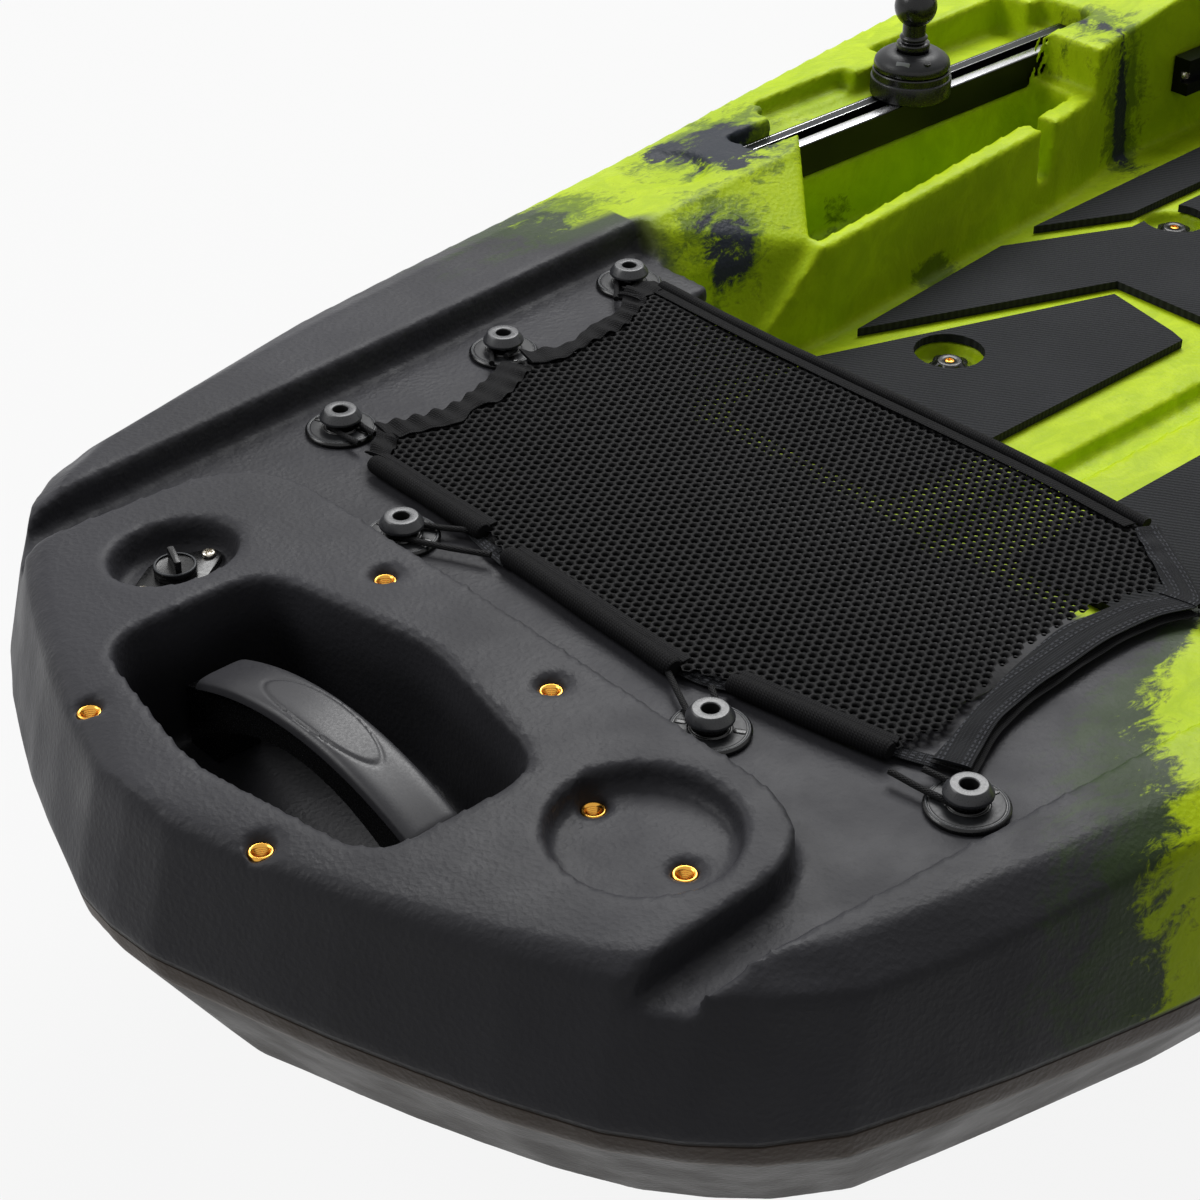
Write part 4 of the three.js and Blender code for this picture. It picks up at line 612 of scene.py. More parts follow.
def offset(outline, distance):
    """A closed outline drawn in by a distance."""
    outline = np.asarray(outline, float)
    ahead = np.roll(outline, -1, axis=0) - outline
    behind = outline - np.roll(outline, 1, axis=0)
    ahead /= np.linalg.norm(ahead, axis=1)[:, None]
    behind /= np.linalg.norm(behind, axis=1)[:, None]
    normal = np.stack([-(ahead + behind)[:, 1], (ahead + behind)[:, 0]], axis=1)
    normal /= np.linalg.norm(normal, axis=1)[:, None]
    x, y = outline[:, 0], outline[:, 1]
    area = np.sum(x * np.roll(y, -1) - np.roll(x, -1) * y)
    return outline + normal * distance * (1 if area > 0 else -1)


def plate(outline, low, high, edge, hole=None):
    """A flat plate with rounded rims, and a round hole about its middle where hole gives its radius."""
    outline = np.asarray(outline, float)
    middle = outline.mean(axis=0)

    def level(distance, z):
        return [(x, y, z) for x, y in offset(outline, distance)]

    rows = [level(edge, low), level(edge * 0.3, low + edge * 0.3), level(0, low + edge),
            level(0, high - edge),
            level(edge * 0.3, high - edge * 0.3), level(edge, high)]
    if hole is None:
        rows.insert(0, [(*middle, low)] * len(outline))
        rows.append([(*middle, high)] * len(outline))
        return grid(rows, caps=False)
    angles = np.arctan2(outline[:, 1] - middle[1], outline[:, 0] - middle[0])
    for radius, z in ((hole + edge, high), (hole, high - edge), (hole, low + edge), (hole + edge, low)):
        rows.append([(middle[0] + radius * math.cos(a), middle[1] + radius * math.sin(a), z) for a in angles])
    return grid(rows, loop=True)


def rounded(corners, radius, steps=6):
    corners = np.asarray(corners, float)
    out = []
    for i, here in enumerate(corners):
        back, ahead = corners[i - 1] - here, corners[(i + 1) % len(corners)] - here
        size = min(radius, np.linalg.norm(back) * 0.48, np.linalg.norm(ahead) * 0.48)
        start, end = here + back / np.linalg.norm(back) * size, here + ahead / np.linalg.norm(ahead) * size
        for s in range(steps + 1):
            t = s / steps
            out.append(start * (1 - t) ** 2 + here * 2 * t * (1 - t) + end * t * t)
    return np.array(out)


def turned(points, degrees, centre):
    angle = math.radians(degrees)
    turn = np.array([[math.cos(angle), -math.sin(angle)], [math.sin(angle), math.cos(angle)]])
    return np.asarray(points, float) @ turn.T + np.array(centre)


def centre(node):
    low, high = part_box(node)
    return [((a + b) / 2 - d) * 1000 for a, b, d in zip(low, high, DATUM)]


def floor_of(node):
    return (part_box(node)[0][2] - DATUM.z) * 1000


def top_of(node):
    return (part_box(node)[1][2] - DATUM.z) * 1000


# Pieces -------------------------------------------------------------------------------------


def add_hull(material):
    """The moulded shell: the CAD solid with every edge drawn round, as a rotomoulded part has."""
    source = nodes["hull"]
    obj = bpy.data.objects.new("hull_shell", source.data.copy())
    obj.matrix_world = source.matrix_world.copy()
    scene.collection.objects.link(obj)
    skew = Euler((0.3, 0.19, 0.47)).to_matrix().to_4x4()  # off the axes, cells leave no steps along edges
    obj.data.transform(skew)
    remesh = obj.modifiers.new("cells", "REMESH")
    remesh.mode = "VOXEL"
    remesh.voxel_size, rounds = FULL_HULL
    soft = obj.modifiers.new("round_edges", "SMOOTH")
    soft.factor = 0.5
    soft.iterations = rounds
    mesh = bpy.data.meshes.new_from_object(obj.evaluated_get(bpy.context.evaluated_depsgraph_get()))
    obj.modifiers.clear()
    obj.data = mesh
    mesh.transform(skew.inverted())
    mesh.materials.clear()
    mesh.materials.append(material)
    mesh.polygons.foreach_set("material_index", [0] * len(mesh.polygons))
    mesh.polygons.foreach_set("use_smooth", [True] * len(mesh.polygons))
    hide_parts("hull")
    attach(obj, "hull")


def keep(node, material, bevel=0.6, segments=2, crease=35):
    """A CAD node whose shape is right: rounded edges and a finish of its own."""
    obj = nodes[node]
    if bevel:
        round_edge = obj.modifiers.new("edges", "BEVEL")
        round_edge.width = mm(bevel)
        round_edge.segments = segments
        round_edge.limit_method = "ANGLE"
        round_edge.angle_limit = math.radians(crease)
        round_edge.use_clamp_overlap = True
        round_edge.harden_normals = True
    for slot in obj.material_slots:
        slot.material = material


def add_inserts(brass):
    for i in range(1, 7):
        node = f"insert_{i}"
        x, y, _ = centre(node)
        profile = [(3.2, -13, 0), (4.95, -13, 0), (4.95, -0.35, 0), (4.6, 0, 0), (3.95, 0, 0),
                   (3.35, -0.7, 0)]
        for thread in range(12):
            z = -1.1 - thread
            profile += [(3.12, z, 0), (3.5, z - 0.5, 0)]
        build(f"{node}_turned", [ring_lathe(profile, (x, y, top_of(node)))], [brass], [node],
              crease=50)


def cross_recess(width, reach, depth):
    def carve(x, y, height):
        arm = min(abs(x), abs(y))
        near = max(abs(x), abs(y))
        return height - depth * (arm < width and near < reach) if height > 0.5 else height
    return carve


def screw(radius, height, place, turn=0.0):
    """Pan head with a cross recess."""
    steps = [(0, 0, 0), (radius, 0, 0), (radius, height * 0.35, 0), (radius * 0.93, height * 0.68, 0),
             (radius * 0.78, height * 0.88, 0)]
    steps += [(radius * share, height * (0.9 + 0.1 * (1 - share)), 0) for share in
              (0.68, 0.6, 0.52, 0.44, 0.36, 0.28, 0.2, 0.13, 0.07, 0)]
    angle = math.radians(turn)
    flat = cross_recess(radius * 0.17, radius * 0.62, height * 0.5)

    def carve(x, y, z):
        return flat(x * math.cos(angle) + y * math.sin(angle), y * math.cos(angle) - x * math.sin(angle), z)
    return lathe(steps, place, 72, carve)


def add_drain(black, steel, rubber, rim):
    x, y, _ = centre("drain_flange")
    low, high = floor_of("drain_flange"), top_of("drain_flange")
    outline = []
    for middle, radius, start in ((19.5, 5.5, -60), (0, 14, 60), (-19.5, 5.5, 120), (0, 14, 240)):
        for step in range(13):
            angle = math.radians(start + step * (60 if radius == 14 else 120) / 12)
            outline.append((middle + radius * math.cos(angle), radius * math.sin(angle)))
    outline = np.asarray(outline)
    keep_one = np.concatenate([[True], np.linalg.norm(np.diff(outline, axis=0), axis=1) > 0.2])
    outline = turned(outline[keep_one], 8, (x, y))
    build("drain_flange_moulded", [plate(outline, low, high, 0.7, hole=8.3)], [black],
          ["drain_flange"])
    for i in (1, 2):
        sx, sy, _ = centre(f"drain_screw_{i}")
        build(f"drain_screw_{i}_turned", [screw(3.3, 1.8, (sx, sy, floor_of(f"drain_screw_{i}")), 20 * i)],
              [steel], [f"drain_screw_{i}"])
    keep("drain_seal", rubber, 0.3)
    px, py, _ = centre("drain_plug")
    foot = top_of("drain_seal") - 1.6
    # The rim material on the top outer edge of the plug's flange is a painted highlight.
    shank = soften([(0, -15, 0), (6.4, -15, 0), (6.4, 1.9, 0), (9.6, 1.9, 0), (9.6, 4.4, 1), (9.2, 4.9, 1),
                    (8.4, 4.9, 0), (8.2, 3.9, 0), (0, 3.9, 0)], 0.25)
    blade = rounded([(-7.2, -1.6), (7.2, -1.6), (7.2, 1.6), (-7.2, 1.6)], 1.3)
    blade = plate(turned(blade, 70, (px, py)), foot + 2.6, foot + 9.9, 0.7)
    build("drain_plug_moulded", [lathe(shank, (px, py, foot)), blade], [black, rim],
          ["drain_plug"], body="drain_plug")


def add_bow_handle(black, satin):
    keep("bow_handle_frame", black, 1.4, 3, 30)
    x, _, _ = centre("bow_handle_grip")
    half_span, end_z, crown_z = 83, -14, 7
    rows = []
    for i in range(121):
        y = -73 + 146 * i / 120
        share = y / half_span
        base = end_z + (crown_z - end_z) * (1 - share * share) + 0.35
        end = min(1.0, (73 - abs(y)) / 3.5)
        row = []
        half = 13.4 - 1.1 * (1 - end) ** 2
        for k in range(41):
            a = -1 + k / 20
            crown = (1 - abs(a) ** 5) ** 0.45 * 4.8
            ellipse = math.hypot(y / 36, a * half / 9.6)
            pad = 0.35 * max(0.0,
                             min(1.0,
                                 (1.0 - ellipse) / 0.04)) - 0.45 * math.exp(-((ellipse - 1.04) / 0.035) ** 2)
            height = crown * (0.35 + 0.65 * math.sqrt(max(0, 1 - (1 - end) ** 2))) + pad * (crown / 4.8)
            row.append((x + a * half, y, base + max(0.0, height)))
        row += [(x + half * a, y, base - 0.05) for a in (0.9, 0.3, -0.3, -0.9)]
        rows.append(row)
    build("bow_handle_cover", [grid(rows)], [satin], ["bow_handle_grip"])


def add_button(number, paints, bars=(125, -35)):
    node = f"bungee_button_{number}"
    x, y, _ = centre(node)
    z = floor_of(node)
    # Band 2, on the disc's outer edge, is a painted highlight ring; band 4, inside the cap's hole, is painted
    # shade.
    profile = soften([
        (0, 0, 0), (17.5, 0, 0), (17.5, 1.5, 0), (16.5, 2.5, 2), (15.9, 2.5, 2), (15.6, 2.25, 0), (15.2, 2.25,
                                                                                                   1),
        (14.8, 2.5, 1), (9.4, 2.6, 1), (9.1, 2.3, 0), (8.6, 2.3, 0), (8.2, 3.2, 0), (5.4, 3.3, 0), (4.5, 4,
                                                                                                    0),
        (4.5, 7, 0), (10.0, 7.0, 0), (10.3, 7.3, 3), (10.2, 8.4, 3), (7.9, 11.7, 3), (7.5, 12, 3), (4.1, 12,
                                                                                                    3),
        (3.7, 11.6, 4), (3.5, 5, 4), (0, 5, 4)], 0.28, 2)
    shells = [lathe(profile, (x, y, z), 72)]
    for angle in bars:
        bar = rounded([(9.6, -1.5), (15.0, -1.5), (15.0, 1.5), (9.6, 1.5)], 1.2, 4)
        shells.append(banded(plate(turned(bar, angle, (x, y)), z + 1.9, z + 2.95, 0.3), 0))
    build(f"{node}_moulded", shells, paints, [node])


def add_loop(number, starts, braid):
    """Elastic cord from the cover, round the stem of its button and back."""
    node = f"bungee_loop_{number}"
    x, y, _ = centre(f"bungee_button_{number}")
    z = 5.1
    hub = np.array([x, y, z])
    first, last = (np.array([*p, z], float) for p in starts)
    away = hub - (first + last) / 2
    away[2] = 0
    away /= np.linalg.norm(away)
    square = np.array([-away[1], away[0], 0])
    side = 1 if np.dot(square, first - last) > 0 else -1
    arc = []
    for step in range(9):
        angle = side * (math.pi / 2 - step / 8 * math.pi)
        arc.append(hub + away * 6.4 * math.cos(angle) + square * 6.4 * math.sin(angle))
    dip = np.array([0, 0, -0.7])
    points = [first, first * 0.5 + arc[0] * 0.5 + dip, *arc, last * 0.5 + arc[-1] * 0.5 + dip, last]
    shells = [sweep(smooth_line(points, 1.2), circle(1.4, 14))]
    build(f"{node}_braid", shells, [braid], [node])


def ribbon(outer, inner, count, thick, height, wrinkle=0.0, folds=8, seed=0.0, edge_lift=0.0):
    """A flat tape between two lines in plan, gathered into cross wrinkles."""
    a = even_line(smooth_line([(*p, 0) for p in outer], 1.0), 1, count)
    b = even_line(smooth_line([(*p, 0) for p in inner], 1.0), 1, count)
    rows = []
    for i in range(count):
        t = i / (count - 1)
        top, bottom = [], []
        for k in range(9):
            s = k / 8
            place = a[i] * (1 - s) + b[i] * s
            wave = wrinkle * math.sin(2 * math.pi * (folds * t + 0.22 * math.sin(5 * t + seed) + 0.1 * s))
            wave *= 0.6 + 0.4 * math.sin(3.1 * s + seed + 4 * t)
            lift = height + wave + edge_lift * (1 - s) ** 2
            roll = 0.35 * thick * (abs(2 * s - 1) ** 6)
            top.append((place[0], place[1], lift + thick / 2 - roll))
            bottom.append((place[0], place[1], lift - thick / 2 + roll))
        rows.append(top + bottom[::-1])
    points, faces, uvs, marks = grid(rows)
    uvs = np.asarray(uvs)
    width = np.linalg.norm(a - b, axis=1).mean() / 1000
    around = width * 2 + thick / 1000
    spot = uvs[:, 0] % around
    uvs[:, 0] = np.minimum(np.minimum(spot, np.abs(width - spot)), np.abs(around - spot))
    return points, faces, uvs, marks


NET_EDGE = [(-16, 149), (-18, 110), (-18, 69), (-23, 51), (-27, 20), (-29, -30), (-28, -64), (-23, -78),
            (-16, -90), (-8, -130), (0, -163), (25, -166), (50, -160), (81, -153), (112, -150), (140, -153),
            (163, -160), (178, -160), (194, -148), (203, -127), (205, -69), (203, 0), (201, 55), (200, 116),
            (202, 187), (176, 182), (159, 175), (128, 172), (98, 178), (84, 172), (62, 158), (48, 160),
            (20, 158), (2, 164)]


def net_height(x, y):
    """The net's small sag between its hems, with a faint ripple."""
    sag = -2.6 * math.sin(math.pi * min(1, max(0, (x + 20) / 222))) ** 0.7 * math.sin(
        math.pi * min(1, max(0, (y + 166) / 340))) ** 0.6
    return 5.2 + sag + 0.5 * math.sin(x / 31 + y / 47) * math.sin(y / 29)


def inside(x, y, outline):
    hit = False
    for (ax, ay), (bx, by) in zip(outline, outline[1:] + outline[:1]):
        if (ay > y) != (by > y) and x < (bx - ax) * (y - ay) / (by - ay) + ax:
            hit = not hit
    return hit


def add_net(thread):
    """Knitted net: round holes in staggered rows, with threads that round off between them."""
    pitch, hole = FULL_NET
    corners = 12
    row_step = pitch * math.sqrt(3) / 2
    apothem = pitch / 2
    border = []
    for k in range(corners):
        angle = 2 * math.pi * k / corners
        sector = (angle + math.pi / 6) % (math.pi / 3) - math.pi / 6
        border.append((apothem / math.cos(sector) * math.cos(angle),
                       apothem / math.cos(sector) * math.sin(angle)))
    levels = [(0.0, 0.5), (0.45, 0.36), (0.85, -0.2), (1.0, -1.3)]
    points, faces = [], []
    rows = int(240 / row_step) + 2
    for row in range(rows):
        x = -34 + row * row_step
        for column in range(int(370 / pitch) + 2):
            y = -182 + (column + 0.5 * (row % 2)) * pitch
            if not inside(x, y, NET_EDGE):
                continue
            base = len(points)
            skew = 0.16 * math.sin(x * 0.9 + y * 1.7)
            for share, height in levels:
                for k in range(corners):
                    angle = 2 * math.pi * k / corners
                    bx, by = border[k]
                    hx, hy = (hole + skew) * math.cos(angle), (hole + skew * 0.4) * math.sin(angle)
                    # hexagon corners point along X so that the rows stagger along Y
                    px, py = bx + (hx - bx) * share, by + (hy - by) * share
                    points.append((x + py, y + px, net_height(x + py, y + px) + height))
            for level in range(len(levels) - 1):
                for k in range(corners):
                    m = (k + 1) % corners
                    a = base + level * corners
                    faces.append((a + k, a + m, a + corners + m, a + corners + k))
    mesh = bpy.data.meshes.new("well_net")
    mesh.from_pydata((np.array(points) / 1000 + np.array(DATUM)).tolist(), [], faces)
    work = bmesh.new()
    work.from_mesh(mesh)
    bmesh.ops.remove_doubles(work, verts=work.verts, dist=1e-4)
    bmesh.ops.recalc_face_normals(work, faces=work.faces)
    if sum(face.normal.z for face in work.faces) < 0:
        bmesh.ops.reverse_faces(work, faces=work.faces)
    work.to_mesh(mesh)
    work.free()
    mesh.materials.append(thread)
    return stand("well_net", mesh, ["mesh_net"], "hull")


def hem_roll(start, end, radius, fold, seed):
    """A rolled sleeve of cloth, a little squashed, with shallow folds across it."""
    line = even_line([(*start, 5.3), (*end, 5.3)], 1.1)

    def section(i, t):
        s = i * 1.1
        close = min(1.0, min(s, (len(line) - 1) * 1.1 - s) / 3.0)
        swell = radius * (0.82 + 0.18 * math.sqrt(max(0.0, close))) * (1 + 0.03 * math.sin(s / 9 + seed))
        points = []
        for k in range(28):
            angle = 2 * math.pi * k / 28
            crease = 1 - fold * math.exp(-((angle - 2.6 - 0.2 * math.sin(s / 25 + seed)) / 0.12) ** 2)
            points.append((swell * 1.02 * math.cos(angle) * crease, swell * 0.92 * math.sin(angle) * crease))
        return points
    return sweep(line, section)


def add_cover(webbing, twill, drawcord, braid, net):
    shells = [hem_roll((-20, 149), (-20.5, 68), 4.7, 0.12, 0.3),
              hem_roll((-25, 47), (-29.5, -66), 4.7, 0.12, 1.7),
              hem_roll((-19, -88), (-4.5, -164), 4.7, 0.12, 2.9)]
    build("front_hem_sleeve", shells, [twill], ["mesh_hem_front"])
    lip = [ribbon([(-15.4, 149), (-16, 69)], [(-11, 149), (-11.5, 69)], 60, 0.9, 6.6),
           ribbon([(-21, 46), (-25, -66)], [(-16, 46), (-20.5, -66)], 70, 0.9, 6.6),
           ribbon([(-14.5, -88), (0, -163)], [(-10, -87), (4, -161)], 60, 0.9, 6.6)]
    build("front_hem_selvedge", lip, [webbing])
    tape = [ribbon([(-29, -60), (-26, -78), (-19, -94), (-12, -125), (-4, -160), (4, -181)],
                   [(-21, -60), (-18.5, -76), (-11.5, -92), (-5, -123), (3, -158), (11, -178)], 90, 0.7, 2.2),
            ribbon([(-25, 74), (-28, 60), (-30, 44)], [(-18, 76), (-21, 61), (-23, 46)], 30, 0.7, 2.6)]
    build("hem_drawcord_tape", tape, [drawcord])
    far = even_line(smooth_line([(203, 190, 6), (202, 116, 6), (204, 55, 6), (206, -9, 6), (207, -69, 6),
                                 (205, -127, 6)], 1), 1.2)
    shell = sweep(far, lambda i, t: [(3.2 * math.cos(a), 2.5 * math.sin(a) * (1 + 0.05 * math.sin(i / 7)))
                                     for a in np.linspace(0, 2 * math.pi, 20, endpoint=False)])
    selvedge = ribbon([(200, 187), (199, 116), (200, 55), (202, -9), (203, -69), (201, -124)],
                      [(194, 187), (193, 116), (194, 55), (196, -9), (197, -69), (195, -122)], 150, 0.8, 6.4)
    build("rear_hem_sleeve", [shell, selvedge], [twill], ["mesh_hem_rear"])
    port = [ribbon([(1, 176), (24, 168), (42, 166), (51, 168), (72, 175), (87, 183)],
                   [(-2, 160), (20, 154), (34, 150), (48, 156), (64, 154),
                    (94, 168)], 120, 1.7, 6.2, 1.3, 9, 0.4),
            ribbon([(100, 185), (113, 178), (126, 175), (144, 181), (166, 184), (180, 195)],
                   [(97, 171), (111, 165), (128, 167), (140, 169), (159, 170),
                    (186, 183)], 110, 1.7, 6.2, 1.2, 8,
                   2.1),
            ribbon([(-20, 156), (-9, 163), (1, 173)], [(-15, 146), (-5, 152), (2, 158)], 30, 1.5, 6.4, 1.8, 3,
                   1.0),
            ribbon([(178, 197), (190, 200), (203, 197)], [(182, 184), (190, 186), (202, 185)], 30, 1.6, 6.2,
                   1.4, 3,
                   0.2)]
    build("port_gathered_webbing", port, [webbing], ["mesh_strap_port"])
    outer = [(9, -194), (32, -184), (54, -178), (87, -175), (122, -174), (147, -177), (166, -184)]
    inner = [(3, -179), (25, -173), (50, -166), (81, -159), (112, -155), (140, -159), (165, -167)]
    lower = [ribbon([(x, y - 2.5) for x, y in outer], [(x, y + 1) for x, y in inner], 150, 1.0, 4.0, 0.5, 6,
                    1.1)]
    upper = [ribbon(outer, inner, 170, 1.2, 6.6, 0.5, 5, 0.5, 0.4),
             ribbon([(166, -184), (176, -178), (206, -133)], [(163, -166), (170, -163), (196, -127)], 60, 1.2,
                    6.7,
                    0.6, 3, 2.0)]
    build("starboard_strap_upper", upper, [drawcord], ["mesh_strap_starboard"])
    build("starboard_strap_lower", lower, [webbing])
    stays = [sweep(smooth_line(line, 1.3), circle(1.4, 12)) for line in (
        [(170, -182, 5.2), (184, -197, 4.4), (192, -203, 4.6)], [(176, -177, 5.2), (190, -192, 4.2),
                                                                 (201, -201, 4.4)])]
    build("corner_stay_cords", stays, [braid])


def add_anchors(black, brass):
    for i in range(1, 5):
        node = f"floor_anchor_{i}"
        x, y, _ = centre(node)
        z = floor_of(node)
        rows = []
        levels = [(0, 0), (0.6, 0), (0.96, 0), (1.0, 0.4), (1.0, 2.9), (0.97, 3.4), (0.86, 3.8), (0.74, 4.1),
                  (0.62, 6.3), (0.55, 6.9), (0.5, 7.0), (0.27, 7.0), (0.245, 6.8), (0.24, 5.3), (0, 5.2)]
        for share, height in levels:
            lobed = share > 0.72
            ring = []
            for k in range(90):
                angle = 2 * math.pi * k / 90
                wave = 0.5 + 0.5 * math.cos(5 * angle)
                radius = 10.4 + 3.0 * wave ** 0.8 if lobed else 12.2
                ring.append((x + radius * share * math.cos(angle), y + radius * share * math.sin(angle),
                             z + height))
            rows.append(ring)
        build(f"{node}_knob", [grid(rows, caps=False), banded(screw(3.2, 1.9, (x, y, z + 5.25), 30 * i), 1)],
              [black, brass], [node])


def add_tracks(anodised, silver_and_highlight, steel, black):
    for side, sign in SIDES:
        keep(f"gear_track_{side}", anodised, 0.5, 2)
        shells = [screw(radius, 1.7, (x, TRACK_Y * sign, -4.9), 15)
                  for x, radius in ((356, 3.4), (360.5, 0.9), (634, 3.4))]
        build(f"track_screws_{side}", shells, [steel])
        lips = []
        # The wide strip on the inboard lip is bright aluminium; the two thin strips along the edges of the
        # outboard lip are painted highlights.
        for near, far, start in ((4.1, 4.7, 350), (10.4, 10.9, 352), (-10.9, -4.2, 347)):
            near_y, far_y = (TRACK_Y + near) * sign, (TRACK_Y + far) * sign
            lip = [(start, near_y), (TRACK_END, near_y), (TRACK_END, far_y),
                   (start + (far - near) * 0.7, far_y)]
            lips.append(plate(lip[::sign], 5.2, 6.13, 0.12))
        build(f"track_lips_{side}", lips, [silver_and_highlight])
        cap = rounded([(341.8, 264.5), (345, 264.5), (345, 287.5), (341.8, 287.5)], 1.5, 4)
        cap = [(x, y * sign) for x, y in cap]
        build(f"track_end_{side}", [plate(cap, -6, 5.6, 0.6)], [black])


def add_mount(black, dark, steel, line, pale):
    x, y, _ = centre("mount_base")
    z = floor_of("mount_base")
    # Band 2, on the small rounded step round the side of the base, is a painted highlight ring.
    base = [(4.2, 0, 0), (23.4, 0, 0), (24.5, 1.0, 0), (24.5, 10.8, 0), (24.3, 11.2, 2), (23.9, 11.45, 2),
            (23.5, 11.6, 0), (23.5, 15.4, 0), (22.9, 16, 0), (4.2, 16, 0)]
    build("mount_base_turned", [ring_lathe(base, (x, y, z), 96)], [black, dark, line],
          ["mount_base"],
          body="mount")
    z = floor_of("mount_collar")
    collar = [(9.3, 0, 0), (22.3, 0, 0), (23.0, 1.0, 0), (23.06, 3.1, 0), (22.4, 5.4, 1), (20.7, 7.3, 1),
              (17.8, 9.3, 1),
              (14.9, 10.7, 1), (12.6, 11, 1), (10.2, 10.9, 0), (9.6, 10.4, 0)]
    # Painted highlight: a pale grey rounded patch laid on the collar's dome where light shines off it.
    highlight_patch = rounded([(-4.2, -1.7), (4.2, -1.7), (4.2, 1.7), (-4.2, 1.7)], 0.8, 3)
    angle = math.radians(205)
    lean = math.radians(48)

    def on_dome(a, b, c):
        out = 19.2 + c * math.sin(lean) + b * math.cos(lean) * 0.66
        return (x + out * math.cos(angle) - a * math.sin(angle),
                y + out * math.sin(angle) + a * math.cos(angle),
                z + 8.3 + c * math.cos(lean) - b * 0.72)
    pocket = soften([(0, 0, 0), (2.1, 0, 0), (2.1, 1.0, 0), (1.5, 1.0, 0), (1.3, 0.3, 0), (0, 0.3, 0)], 0.2)
    turn = math.radians(250)
    shells = [ring_lathe(collar, (x, y, z), 96), banded(moved(plate(highlight_patch, -0.4, 0.35, 0.15), on_dome), 2),
              lathe(pocket, (x + 18.6 * math.cos(turn), y + 18.6 * math.sin(turn), z + 8.0), 28)]
    build("mount_collar_turned", shells, [black, dark, pale], ["mount_collar"],
          body="mount_collar")
    z = floor_of("mount_base")
    stack = [(0, 17.3, 0), (8.9, 17.3, 0), (8.9, 27.4, 0), (9.6, 28.4, 0), (10.0, 28.9, 1), (10.0, 31.9, 1),
             (9.4, 32.5, 1), (7.6, 33.0, 0), (7.0, 33.6, 0), (8.1, 34.6, 0), (8.6, 35.4, 0), (8.2, 36.2, 0),
             (7.0, 37.2, 0)]
    stack = soften(stack, 0.3, 2)
    rise = 61 - z
    join = math.asin(7.0 / 12.7)
    for step in range(41):
        turn = join + step / 40 * (math.pi - join)
        seam = 0.06 if abs(turn - math.pi / 2) < 0.035 else 0.0
        stack.append(((12.7 + seam) * math.sin(turn) if step < 40 else 0, rise - 12.7 * math.cos(turn), 2))
    build("mount_ball_turned", [lathe(stack, (x, y, z), 72)], [black, black, black], ["mount_ball"],
          body="mount")
    keep("mount_bolt", steel, 0.3)


def add_foot_braces(black, anodised, grip, steel):
    for side, sign in SIDES:
        keep(f"foot_rail_{side}", anodised, 0.7)
        keep(f"foot_pedal_{side}", black, 1.6, 3)
        ribs = []
        for step in range(6):
            z = -48 + step * 16
            x = 794.0 + (z + 61.2) / 112 * 22.4
            ribs.append(plate([(x - 1.1, 141 * sign), (x + 0.4, 141 * sign), (x + 0.4, 196 * sign),
                               (x - 1.1, 196 * sign)], z, z + 6, 0.5))
        build(f"pedal_treads_{side}", ribs, [grip], body=f"foot_pedal_{side}")
        heads = [(694.4, -22), (1015.6, -22)]
        shells = []
        for x, z in heads:
            head = screw(3.6, 2.2, (0, 0, 0), 10)
            shells.append(moved(head, lambda a, b, c: (x + a, (220.9 - c) * sign, z + b)))
        build(f"rail_screws_{side}", shells, [steel])


def add_seat(tube, cloth, twill, steel):
    front, rear, half, z = 1150, 1575, 222, 62
    loop = [(x, y, z) for x, y in rounded([(front, half), (rear, half), (rear, -half), (front, -half)], 55,
                                          10)]
    line = even_line(loop + loop[:1], 8)[:-1]
    shells = [sweep(line, circle(TUBE_RADIUS, 24), closed=True)]
    for sign in (1, -1):
        for x in (1240, 1485):
            post = soften([(0, 0, 0), (14.6, 0, 0), (14.6, 5, 0), (12.6, 7, 0), (11.6, 88, 0), (0, 88, 0)],
                          1.0)
            shells.append(lathe(post, (x, half * sign, -27.7), 32))
        lug = rounded([(1495, 62), (1520, 62), (1520, 108.5), (1495, 108.5)], 11, 6)
        shells.append(moved(plate(lug, 209.5, 217.5, 1.0), lambda a, b, c: (a, c * sign, b)))
        pin = soften([(0, 167.5, 0), (4.5, 167.5, 0), (4.5, 217, 0), (8, 217, 0), (8, 221, 0), (0, 221.5, 0)],
                     0.6)
        pin = banded(lathe(pin, (0, 0, 0), 28), 1)
        shells.append(moved(pin, lambda a, b, c: (PIVOT_X + a, c * sign, PIVOT_Z + b)))
    build("seat_base_tubes", shells, [tube, steel], ["seat_frame"])
    top = (430 - TUBE_RADIUS) / math.cos(BACK_LEAN)
    corners = [(0, 180)] + [tuple(p) for p in rounded([(-400, 180), (top, 180), (top, -180), (-400, -180)],
                                                      95, 10)
                            if p[0] > 0] + [(0, -180)]
    line = even_line([(PIVOT_X + u * math.sin(BACK_LEAN), y, PIVOT_Z + u * math.cos(BACK_LEAN))
                      for u, y in corners], 8)
    shells = [sweep(line, circle(TUBE_RADIUS, 24), up=(math.cos(BACK_LEAN), 0, -math.sin(BACK_LEAN)))]
    for sign in (1, -1):
        eye = [(4.9, -12.4, 0), (15.2, -12.4, 0), (16, -11.4, 0), (16, 11.4, 0), (15.2, 12.4, 0),
               (4.9, 12.4, 0)]
        eye = ring_lathe(eye, (0, 0, 0), 40)
        shells.append(moved(eye, lambda a, b, c: (PIVOT_X + a, 180 * sign + c, PIVOT_Z + b)))
    build("seat_back_tubes", shells, [tube], ["seat_back_frame"], body="seat_back")
    add_sling("seat_sling_cloth", "seat_sling", cloth, twill, "hull")
    add_sling("back_sling_cloth", "back_sling", cloth, twill, "seat_back")


